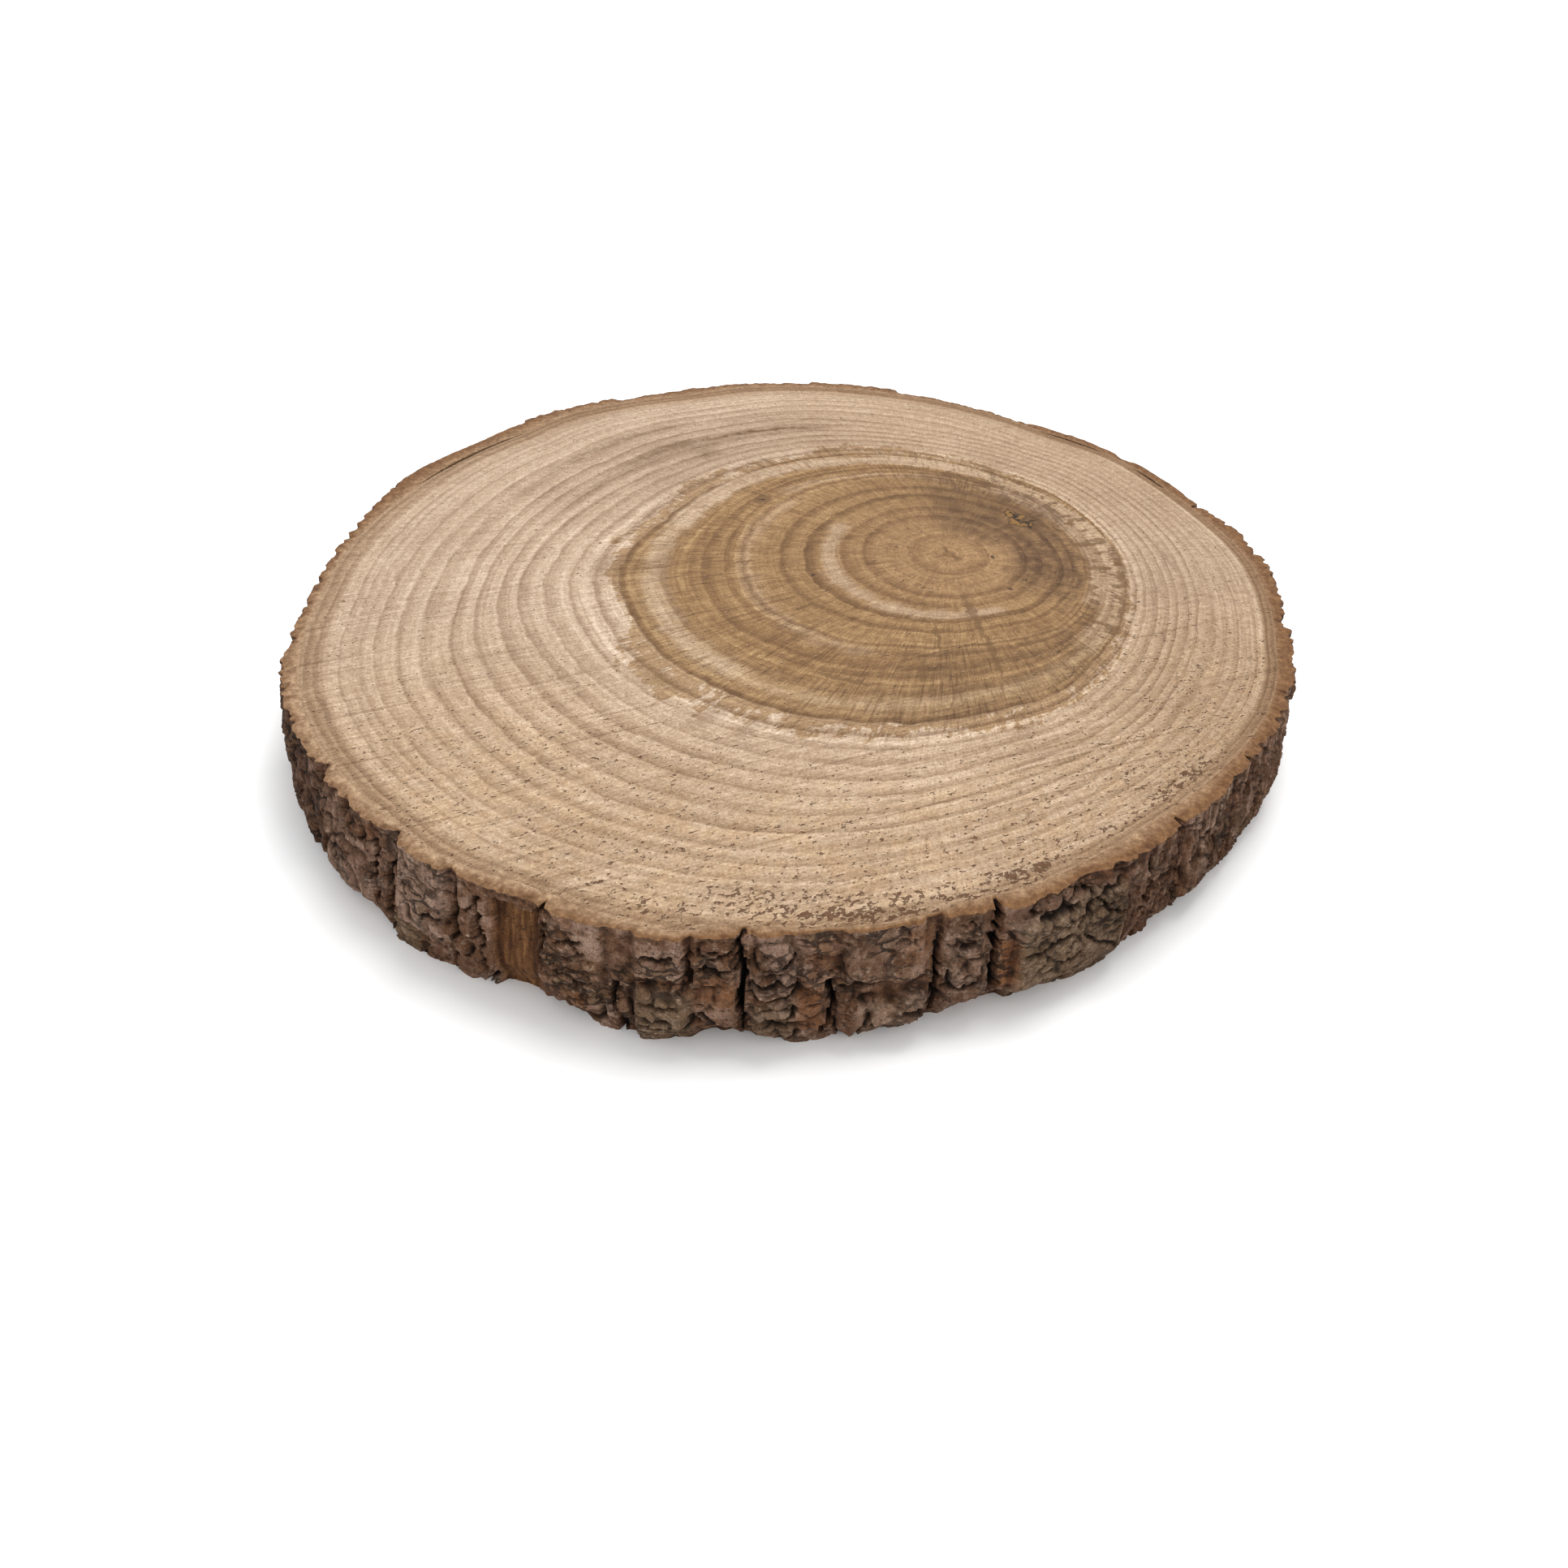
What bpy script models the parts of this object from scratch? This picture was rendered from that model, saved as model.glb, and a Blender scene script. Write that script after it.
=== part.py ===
# A slice sawn straight across a trunk, with its bark on, lying on its lower cut face.
# Lengths are in metres and +Z is up. The origin is under the middle of the slice.
# A bearing is an angle in degrees, counter-clockwise from +X, seen from above.

import math

import bmesh
import bpy
from mathutils import Vector, noise

MM = 0.001

# Driving sizes
THICKNESS = 25 * MM
COLUMNS = 400
ROWS = 12

# The bark's outer radius in mm, every 15 degrees from bearing 0
OUTLINE = (
    (121.5, 120.4, 121.3, 119.3, 120.1, 120.5, 121.3, 118.2)
    + (118.6, 117.3, 118.4, 118.4, 119.8, 124.2, 126.4, 126.0)
    + (124.9, 124.0, 120.0, 117.8, 115.3, 115.9, 117.3, 118.2)
)

# Relief of the bark between its fissures: the usual width of a plate, how much longer it is
# along the trunk, how far plates differ, and the cracks between them
PLATE_WIDTH = 11 * MM
PLATE_STRETCH = 1.35
PLATE_BED = 0.8 * MM
PLATE_STEP = 1.5 * MM
CRACK_DEPTH = 1.3 * MM
CRACK_SHARE = 0.16
LEVEL_SPREAD = 5.1
BEND = 0.22
BEND_LENGTH = 9 * MM
ROUGHNESS = 0.7 * MM
COARSE_GRAIN = 4.5 * MM
FINE_GRAIN = 2 * MM

# Fissures and lost flakes: bearing at the foot, bearing at the top, then lower end, upper end,
# width and depth in mm. An end past the slice's own faces means that it is cut through.
FISSURES = (
    (3.0, 2.6, -2, 27, 4.6, 3.4),
    (13.2, 12.9, -2, 27, 4.8, 4.6),
    (18.5, 18.7, 3, 27, 3.2, 4.0),
    (30.0, 29.4, -2, 17, 2.6, 3.0),
    (43.8, 43.2, -2, 27, 8.0, 2.6),
    (50.5, 51.2, -2, 15, 2.6, 3.0),
    (60.0, 59.5, 6, 27, 2.8, 2.6),
    (64.2, 65.2, -2, 27, 4.0, 3.2),
    (73.0, 72.4, -2, 18, 2.6, 3.6),
    (82.6, 82.3, -2, 27, 9.0, 3.2),
    (93.5, 93.0, -2, 27, 3.0, 2.2),
    (103.0, 102.6, -2, 27, 6.0, 2.6),
    (109.2, 109.8, 2, 27, 3.0, 2.8),
    (119.0, 119.2, -2, 27, 2.8, 2.8),
    (128.6, 128.8, -2, 27, 9.0, 2.8),
    (136.6, 136.8, -2, 27, 3.4, 2.8),
    (144.2, 144.8, -2, 16, 2.8, 3.0),
    (151.2, 151.5, -2, 27, 4.4, 4.2),
    (156.8, 156.5, -2, 27, 3.2, 3.2),
    (162.6, 162.4, -2, 27, 2.4, 2.8),
    (168.4, 168.2, 4, 27, 3.2, 2.4),
    (174.2, 173.6, -2, 27, 5.0, 2.8),
    (184.6, 185.8, -2, 21, 2.8, 3.4),
    (195.2, 195.4, -2, 27, 4.6, 3.2),
    (205.5, 204.5, 2, 13, 5.0, 4.5),
    (211.6, 211.0, -2, 27, 2.8, 3.2),
    (220.3, 220.9, 4, 21, 2.4, 4.0),
    (222.4, 223.3, -2, 27, 3.0, 5.0),
    (230.2, 230.8, -2, 18, 2.4, 3.5),
    (233.6, 233.0, -2, 22, 2.8, 4.0),
    (238.6, 239.2, 11, 27, 2.4, 4.0),
    (246.2, 245.4, -2, 27, 3.4, 3.6),
    (251.9, 252.0, 15, 27, 2.4, 3.0),
    (256.7, 256.2, -2, 27, 3.2, 5.5),
    (263.3, 264.6, 1, 15, 2.8, 4.5),
    (273.0, 273.3, 1, 27, 2.6, 4.2),
    (278.4, 278.8, 2, 27, 3.6, 5.6),
    (293.6, 294.2, -2, 14, 2.4, 3.5),
    (296.8, 297.0, -2, 27, 3.0, 4.0),
    (302.0, 301.6, 1, 27, 2.8, 4.5),
    (308.0, 307.4, -2, 16, 2.4, 3.0),
    (315.2, 315.6, -2, 27, 3.4, 4.2),
    (319.8, 319.6, -2, 27, 3.0, 2.8),
    (329.8, 329.6, -2, 27, 3.4, 4.4),
    (337.2, 336.4, -2, 15, 2.4, 3.0),
    (344.4, 344.2, -2, 27, 3.4, 2.8),
    (352.0, 351.2, -2, 19, 2.6, 3.2),
)

# How a fissure runs: how far it wanders in degrees and over what height, how much of its half
# width is floor, how far its lips reach, and how much of the plates' relief is left in it
WANDER = 0.5
WANDER_LENGTH = 6 * MM
FISSURE_FLOOR = 0.45
FISSURE_LIP = 1.25
FISSURE_BED = 0.4
FISSURE_REACH = 6

# Plates that stand proud: first and last bearing, lower and upper edge and rise, in mm
RAISED = (
    (4.6, 11.9, -2, 27, 0.5),
    (33.4, 38.3, -2, 27, 1.2),
    (66.3, 79.8, -2, 27, 2.4),
    (110.8, 126.0, -2, 27, 1.2),
    (138.4, 150.2, -2, 27, 0.6),
    (191.2, 194.0, -2, 27, 1.0),
    (212.2, 220.2, -2, 27, 0.6),
    (223.9, 229.6, 7, 27, 0.9),
    (240.2, 244.8, 6, 27, 0.6),
    (247.5, 251.6, 15.5, 27, 0.9),
    (247.8, 252.6, -2, 14.5, 1.2),
    (257.4, 261.0, 11, 27, 0.8),
    (264.9, 272.0, 14, 27, 0.9),
    (265.5, 272.2, -2, 10.5, 1.2),
    (273.9, 277.6, -2, 27, 0.8),
    (280.6, 293.2, -2, 21, 1.4),
    (303.2, 310.0, -2, 27, 0.4),
    (320.6, 328.6, -2, 27, 0.6),
    (330.8, 343.4, -2, 27, 0.6),
)
PLATE_EDGE = 0.35

# Where a plate has come off: first and last bearing, lower and upper edge and depth, in mm
WINDOW = (234.4, 238.4, -2, 22, 2.6)

# How far the lower edge is broken back, as bearing and depth in mm
LOWER_BREAK = (
    ((0, 1.0), (24, 2.4), (52, 0.8), (88, 2.6), (120, 1.0), (146, 2.2), (171, 0.8))
    + ((196, 1.0), (212, 1.2), (219, 2.6), (223, 0.3), (231, 1.0), (240, 3.2), (246, 0.6))
    + ((255, 3.8), (262, 0.9), (270, 1.6), (277, 3.2), (283, 1.3), (290, 0.3), (306, 3.2))
    + ((318, 1.2), (336, 1.6), (360, 1.0))
)
BREAK_HEIGHT = 7 * MM

# Slits where the bark has parted from the wood: first and last bearing, radius at each,
# width and depth, with lengths in mm. The bark's relief is held shallow beside them.
SLITS = (
    (129.0, 150.0, 110.0, 111.3, 1.9, 12),
    (31.5, 42.0, 115.5, 113.2, 1.4, 8),
    (19.0, 25.5, 113.9, 115.1, 0.9, 6),
)
SLIT_STEPS = 10
SLIT_ROUNDING = 0.6
SLIT_FOOT = 0.4
CUTTER_RISE = 2 * MM
GUARD_DEPTH = 2.5 * MM
GUARD_MARGIN = 4

WOOD_COLOUR = (0.62, 0.46, 0.31, 1)
WOOD_ROUGHNESS = 0.75
BARK_COLOUR = (0.155, 0.115, 0.080, 1)
BARK_ROUGHNESS = 0.9
SHARP_ANGLE = 35


def smooth(low, high, value):
    share = min(max((value - low) / (high - low), 0), 1)
    return share * share * (3 - 2 * share)


def between(value, low, high, edge):
    """1 from low to high and 0 outside, with a smooth edge of this half width."""
    return smooth(low - edge, low + edge, value) * (1 - smooth(high - edge, high + edge, value))


def turn(bearing, other):
    return (bearing - other + 180) % 360 - 180


def outline_radius(bearing):
    """A smooth closed curve through the outline's radii."""
    step = 360 / len(OUTLINE)
    place = bearing % 360 / step
    first = int(place)
    share = place - first
    before, start, end, after = (OUTLINE[(first + k) % len(OUTLINE)] for k in (-1, 0, 1, 2))
    curve = (
        2 * start
        + (end - before) * share
        + (2 * before - 5 * start + 4 * end - after) * share**2
        + (3 * start - before - 3 * end + after) * share**3
    )
    return curve / 2 * MM


def fissure_depth(bearing, height, radius):
    deepest = 0
    for foot, top, low, high, width, depth in FISSURES:
        if abs(turn(bearing, foot)) > FISSURE_REACH:
            continue
        wander = noise.noise(Vector((foot, 0, height / WANDER_LENGTH))) * WANDER
        middle = foot + (top - foot) * height / THICKNESS + wander
        across = abs(math.radians(turn(bearing, middle))) * radius
        half = width / 2 * MM
        side = 1 - smooth(FISSURE_FLOOR * half, FISSURE_LIP * half, across)
        share = side * between(height, low * MM, high * MM, MM)
        deepest = max(deepest, depth * MM * share)
    return deepest


def raised_plate(bearing, height):
    rise = 0
    for first, last, low, high, lift in RAISED:
        share = between(bearing, first, last, PLATE_EDGE) * between(height, low * MM, high * MM, MM)
        rise = max(rise, lift * MM * share)
    return rise


def window_depth(bearing, height):
    first, last, low, high, depth = WINDOW
    share = between(bearing, first, last, PLATE_EDGE) * between(height, low * MM, high * MM, MM)
    return depth * MM * share


def plate_depth(spot):
    """Plates of bark at their own levels, parted by cracks."""
    bend = noise.noise_vector(spot / BEND_LENGTH) * BEND
    place = Vector((spot.x, spot.y, spot.z / PLATE_STRETCH)) / PLATE_WIDTH + bend
    near, centres = noise.voronoi(place)
    level = 0.5 + 0.5 * noise.noise(centres[0] * LEVEL_SPREAD)
    crack = 1 - smooth(0, CRACK_SHARE, near[1] - near[0])
    return PLATE_BED + PLATE_STEP * level + CRACK_DEPTH * crack


def rough_depth(spot):
    coarse = noise.noise(spot / COARSE_GRAIN)
    fine = noise.noise(spot / FINE_GRAIN)
    return ROUGHNESS * (1 + 0.7 * coarse + 0.3 * fine) / 2


def lower_break(bearing, height):
    """How far the lower edge is broken back at this bearing."""
    back = 0
    for (start, first), (end, last) in zip(LOWER_BREAK, LOWER_BREAK[1:]):
        if start <= bearing <= end:
            back = first + (last - first) * smooth(start, end, bearing)
    return back * MM * (1 - smooth(0, BREAK_HEIGHT, height))


def slit_guard(bearing):
    """1 away from the slits, and 0 beside a slit, where the bark's relief is held shallow."""
    guard = 1
    for first, last, *_ in SLITS:
        before = smooth(first - GUARD_MARGIN, first, bearing)
        after = smooth(last, last + GUARD_MARGIN, bearing)
        guard = min(guard, 1 - before * (1 - after))
    return guard


def wall_radius(bearing, height):
    radius = outline_radius(bearing)
    angle = math.radians(bearing)
    spot = Vector((radius * math.cos(angle), radius * math.sin(angle), height))
    bed = plate_depth(spot) + window_depth(bearing, height) - raised_plate(bearing, height)
    depth = max(bed, fissure_depth(bearing, height, radius) + FISSURE_BED * bed)
    depth += lower_break(bearing, height) + rough_depth(spot)
    shallow = GUARD_DEPTH * depth / (GUARD_DEPTH + abs(depth))
    return radius - shallow - (depth - shallow) * slit_guard(bearing)


def new_material(name, colour, roughness):
    material = bpy.data.materials.new(name)
    material.use_nodes = True
    shader = material.node_tree.nodes["Principled BSDF"]
    shader.inputs["Base Color"].default_value = colour
    shader.inputs["Roughness"].default_value = roughness
    shader.inputs["Metallic"].default_value = 0
    material.diffuse_color = colour
    return material


def new_object(name, shape):
    mesh = bpy.data.meshes.new(name)
    shape.to_mesh(mesh)
    shape.free()
    made = bpy.data.objects.new(name, mesh)
    bpy.context.scene.collection.objects.link(made)
    return made


def slice_shape():
    """The slice as a disc extruded row by row, each row then brought to the bark's face."""
    shape = bmesh.new()
    disc = bmesh.ops.create_circle(shape, cap_ends=True, segments=COLUMNS, radius=outline_radius(0))
    rows = [disc["verts"]]
    face = shape.faces[:]
    for number in range(ROWS):
        grown = bmesh.ops.extrude_face_region(shape, geom=face)["geom"]
        if number > 0:
            bmesh.ops.delete(shape, geom=face, context="FACES_ONLY")
        face = [part for part in grown if isinstance(part, bmesh.types.BMFace)]
        rows.append([part for part in grown if isinstance(part, bmesh.types.BMVert)])
    for number, row in enumerate(rows):
        height = THICKNESS * number / ROWS
        for corner in row:
            angle = math.atan2(corner.co.y, corner.co.x)
            radius = wall_radius(math.degrees(angle) % 360, height)
            corner.co = (radius * math.cos(angle), radius * math.sin(angle), height)
    bmesh.ops.recalc_face_normals(shape, faces=shape.faces[:])
    for side in shape.faces:
        side.material_index = 0 if len(side.verts) > 4 else 1
        side.smooth = True
    return shape


def slits_shape():
    """The three slits as slim crescents that narrow downwards."""
    shape = bmesh.new()
    for first, last, start, end, width, depth in SLITS:
        rim = []
        for number in range(2 * SLIT_STEPS):
            share = 1 - abs(number / SLIT_STEPS - 1)
            side = 1 if number <= SLIT_STEPS else -1
            half = width / 2 * abs(math.sin(math.pi * share)) ** SLIT_ROUNDING
            radius = (start + (end - start) * share + side * half) * MM
            angle = math.radians(first + (last - first) * share)
            rim.append(Vector((radius * math.cos(angle), radius * math.sin(angle), 0)))
        foot = [shape.verts.new(spot + Vector((0, 0, THICKNESS - depth * MM))) for spot in rim]
        face = shape.faces.new(foot)
        grown = bmesh.ops.extrude_face_region(shape, geom=[face])["geom"]
        top = [part for part in grown if isinstance(part, bmesh.types.BMVert)]
        bmesh.ops.translate(shape, vec=(0, 0, depth * MM + CUTTER_RISE), verts=top)
        for number, corner in enumerate(foot):
            facing = foot[-number]
            middle = (corner.co + facing.co) / 2
            rim[number] = middle + (corner.co - middle) * SLIT_FOOT
        for corner, spot in zip(foot, rim):
            corner.co = spot
    bmesh.ops.recalc_face_normals(shape, faces=shape.faces[:])
    return shape


def build():
    for old in list(bpy.data.objects):
        bpy.data.objects.remove(old)
    slits = new_object("slit_cutter", slits_shape())
    slits.hide_render = True
    slits.display_type = "WIRE"
    made = new_object("wood_slice", slice_shape())
    made.data.materials.append(new_material("wood", WOOD_COLOUR, WOOD_ROUGHNESS))
    made.data.materials.append(new_material("bark", BARK_COLOUR, BARK_ROUGHNESS))
    made.data.set_sharp_from_angle(angle=math.radians(SHARP_ANGLE))
    cut = made.modifiers.new("slits", "BOOLEAN")
    cut.operation = "DIFFERENCE"
    cut.solver = "EXACT"
    cut.object = slits


build()
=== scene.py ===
# A slice sawn straight across a trunk: the wood with its growth rings, and the ring of bark
import math

import bmesh
import bpy
import numpy as np
from mathutils import Matrix, Vector, noise


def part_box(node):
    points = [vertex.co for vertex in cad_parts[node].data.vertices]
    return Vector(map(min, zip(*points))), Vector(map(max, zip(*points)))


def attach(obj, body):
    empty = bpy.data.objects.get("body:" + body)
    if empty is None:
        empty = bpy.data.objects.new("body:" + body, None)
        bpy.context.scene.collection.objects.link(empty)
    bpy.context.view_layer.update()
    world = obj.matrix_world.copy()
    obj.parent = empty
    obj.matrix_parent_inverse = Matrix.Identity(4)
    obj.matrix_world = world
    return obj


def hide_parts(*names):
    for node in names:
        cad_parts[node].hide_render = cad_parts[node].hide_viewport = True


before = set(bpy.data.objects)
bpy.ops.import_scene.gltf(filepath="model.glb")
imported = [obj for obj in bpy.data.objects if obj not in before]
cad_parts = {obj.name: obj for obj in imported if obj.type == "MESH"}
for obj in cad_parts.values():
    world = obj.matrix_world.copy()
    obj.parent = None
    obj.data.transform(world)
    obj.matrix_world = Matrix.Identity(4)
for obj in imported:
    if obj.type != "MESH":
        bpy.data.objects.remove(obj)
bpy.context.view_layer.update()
lowest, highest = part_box("wood_slice")
noise.seed_set(7)  # else noise_vector follows the clock and the plates differ in each run

mm = 0.001
thickness = 25  # mm, as sawn
columns = 1280  # points round the rim, shared by the wood and the bark
mapReach = 160  # growth in mm at the upper edge of the wood's map

# bearings are in degrees, counter-clockwise from +X, and every length in these lists is in mm
outline = (
    (121.5, 119.2, 120, 118.6, 120.1, 120.2, 120.8, 117.7)
    + (119.4, 117, 118.8, 118.4, 119.8, 124.8, 126.4, 126)
    + (124.9, 124, 120, 117.8, 115.3, 115.9, 117.3, 118.2)
)
cambium = (
    (115, 114.2, 114.4, 115.6, 113.4, 114.6, 115.2, 115.1, 115.3, 114.6, 111.4, 112.4)
    + (112.6, 110.2, 111, 111.2, 112, 113.2, 114.2, 117, 119.3, 119.8, 120, 120.6)
    + (119.8, 119.6, 118, 114.8, 112.4, 110, 108.6, 109, 110.4, 111.6, 111.8, 113.4)
)
# first bearing, last bearing, radius at each, width, depth
slits = (
    (129, 150, 110, 111.3, 1.1, 8),
    (31.5, 42, 115.5, 113.2, 1, 7),
    (19, 25.5, 113.9, 115.1, 0.7, 6),
)


def smooth(low, high, value):
    share = np.clip((value - low) / (high - low), 0, 1)
    return share * share * (3 - 2 * share)


def between(value, low, high, edge):
    return smooth(low - edge, low + edge, value) * (1 - smooth(high - edge, high + edge, value))


def turn(bearing, other):
    return (bearing - other + 180) % 360 - 180


def sector(bearing, first, last, edge):
    # 1 between two bearings, going round through 360 where the last is the smaller
    middle = first + (last - first) % 360 / 2
    half = (last - first) % 360 / 2
    return 1 - smooth(half - edge, half + edge, np.abs(turn(bearing, middle)))


def closedCurve(values, bearing):
    # a smooth closed line through values that are evenly spaced round the slice
    values = np.asarray(values, float)
    place = np.asarray(bearing) % 360 / 360 * len(values)
    first = place.astype(int)
    share = place - first
    before, start, end, after = (values[(first + k) % len(values)] for k in (-1, 0, 1, 2))
    return (
        2 * start
        + (end - before) * share
        + (2 * before - 5 * start + 4 * end - after) * share**2
        + (3 * start - before - 3 * end + after) * share**3
    ) / 2


def grain(spots, seed=0.0):
    # smooth noise from -1 to 1 at each spot
    shift = Vector((seed, seed * 0.7, -seed))
    flat = spots.reshape(-1, 3)
    found = [noise.noise(Vector(spot) + shift) for spot in flat.tolist()]
    return np.array(found).reshape(spots.shape[:-1])


def slitHalf(bearing, height):
    # radius of the slit's middle and its half width, which is 0 where there is no slit
    middle = np.zeros(np.broadcast(bearing, height).shape)
    half = np.zeros(middle.shape)
    for first, last, start, end, width, depth in slits:
        share = np.clip((bearing - first) / (last - first), 0, 1)
        rise = (height - thickness + depth) / depth
        wide = width / 2 * np.sin(np.pi * share) ** 0.6 * (0.4 + 0.6 * np.clip(rise, 0, 1))
        wide = np.where((rise > 0) & (share > 0) & (share < 1), wide, 0)
        middle = np.where(wide > 0, start + (end - start) * share, middle)
        half = np.where(wide > 0, wide, half)
    return middle, half


# small helpers for shader nodes; they add to the material that newMaterial began last
def newMaterial(name):
    global tree
    made = bpy.data.materials.new(name)
    made.use_nodes = True
    tree = made.node_tree
    return made, tree.nodes["Principled BSDF"]


def feed(socket, value):
    if isinstance(value, bpy.types.NodeSocket):
        tree.links.new(value, socket)
    elif value is not None:
        socket.default_value = value


def addNode(kind, values=None, **settings):
    made = tree.nodes.new("ShaderNode" + kind)
    for name, value in settings.items():
        setattr(made, name, value)
    for name, value in (values or {}).items():
        feed(made.inputs[name], value)
    return made


def maths(operation):
    def made(first, second=None, third=None, clamp=False):
        values = {0: first, 1: second, 2: third}
        return addNode("Math", values, operation=operation, use_clamp=clamp).outputs[0]

    return made


plus, minus, times = maths("ADD"), maths("SUBTRACT"), maths("MULTIPLY")
scaled = maths("MULTIPLY_ADD")  # a value, its amount, and what they are added to
larger, smaller, power = maths("MAXIMUM"), maths("MINIMUM"), maths("POWER")
cosine, sine = maths("COSINE"), maths("SINE")


def vectors(operation, values):
    return addNode("VectorMath", values, operation=operation).outputs


def swing(value, amount, tone):
    # adds a noise to a tone, as much up as down
    return scaled(minus(value, 0.5), amount, tone)


def mixed(share, first, second, blend="MIX"):
    made = addNode("Mix", data_type="RGBA", blend_type=blend)
    for number, value in ((0, share), (6, first), (7, second)):
        feed(made.inputs[number], value)
    return made.outputs[2]


def spread(value, low, high, toLow=0.0, toHigh=1.0, kind="SMOOTHSTEP"):
    values = {"Value": value, "From Min": low, "From Max": high, "To Min": toLow, "To Max": toHigh}
    return addNode("MapRange", values, interpolation_type=kind).outputs["Result"]


def noiseOf(vector, detail=2.0, roughness=0.5):
    values = {"Vector": vector, "Scale": 1.0, "Detail": detail, "Roughness": roughness}
    return addNode("TexNoise", values).outputs["Fac"]


def mapped(vector, scale=(1, 1, 1), rotation=(0, 0, 0), location=(0, 0, 0)):
    values = {"Vector": vector, "Scale": scale, "Rotation": rotation, "Location": location}
    return addNode("Mapping", values).outputs["Vector"]


def cloud(place, scale, detail, roughness):
    # noise with so many cells in a metre, the same each way or given for each axis
    scale = scale if isinstance(scale, tuple) else (scale, scale, scale)
    return noiseOf(mapped(place, scale), detail, roughness)


def attribute(name):
    return addNode("Attribute", attribute_name=name).outputs["Fac"]


def linear(colours):
    # screen colours of 0 to 255 as the shader's own values
    found = {}
    for name, colour in colours.items():
        parts = [part / 255 for part in colour]
        parts = [p / 12.92 if p <= 0.04045 else ((p + 0.055) / 1.055) ** 2.4 for p in parts]
        found[name] = (*parts, 1)
    return found


def rampOf(value, stops):
    made = addNode("ValToRGB", {"Fac": value})
    elements = made.color_ramp.elements
    while len(elements) < len(stops):
        elements.new(0.5)
    for element, (place, colour) in zip(elements, stops):
        element.position = place
    for element, (place, colour) in zip(elements, stops):
        element.color = colour if isinstance(colour, tuple) else (colour, colour, colour, 1)
    return made.outputs["Color"]


def shaded(colour, tone):
    # darkens or pales a colour by a tone in halvings, the blue most and the red least
    parts = [power(2.0, times(tone, k)) for k in (1, 1.2, 1.4)]
    made = addNode("CombineColor", dict(enumerate(parts)))
    return mixed(1.0, colour, made.outputs[0], "MULTIPLY")


def finished(shader, colour, roughness, shine, height, strength=0.9):
    # the last step of a material
    bump = addNode("Bump", {"Height": height, "Distance": mm, "Strength": strength}).outputs[0]
    values = {"Base Color": colour, "Roughness": roughness, "Specular IOR Level": shine, "Normal": bump}
    for name, value in values.items():
        feed(shader.inputs[name], value)


def keep(name, data):
    made = bpy.data.objects.new(name, data)
    bpy.context.scene.collection.objects.link(made)
    return made


def newPiece(name, mesh):
    made = keep(name, mesh)
    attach(made, "root")
    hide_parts("wood_slice")
    return made


def setAttribute(mesh, name, values):
    made = mesh.attributes.new(name, "FLOAT", "POINT")
    made.data.foreach_set("value", np.asarray(values, np.float32).ravel())


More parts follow.
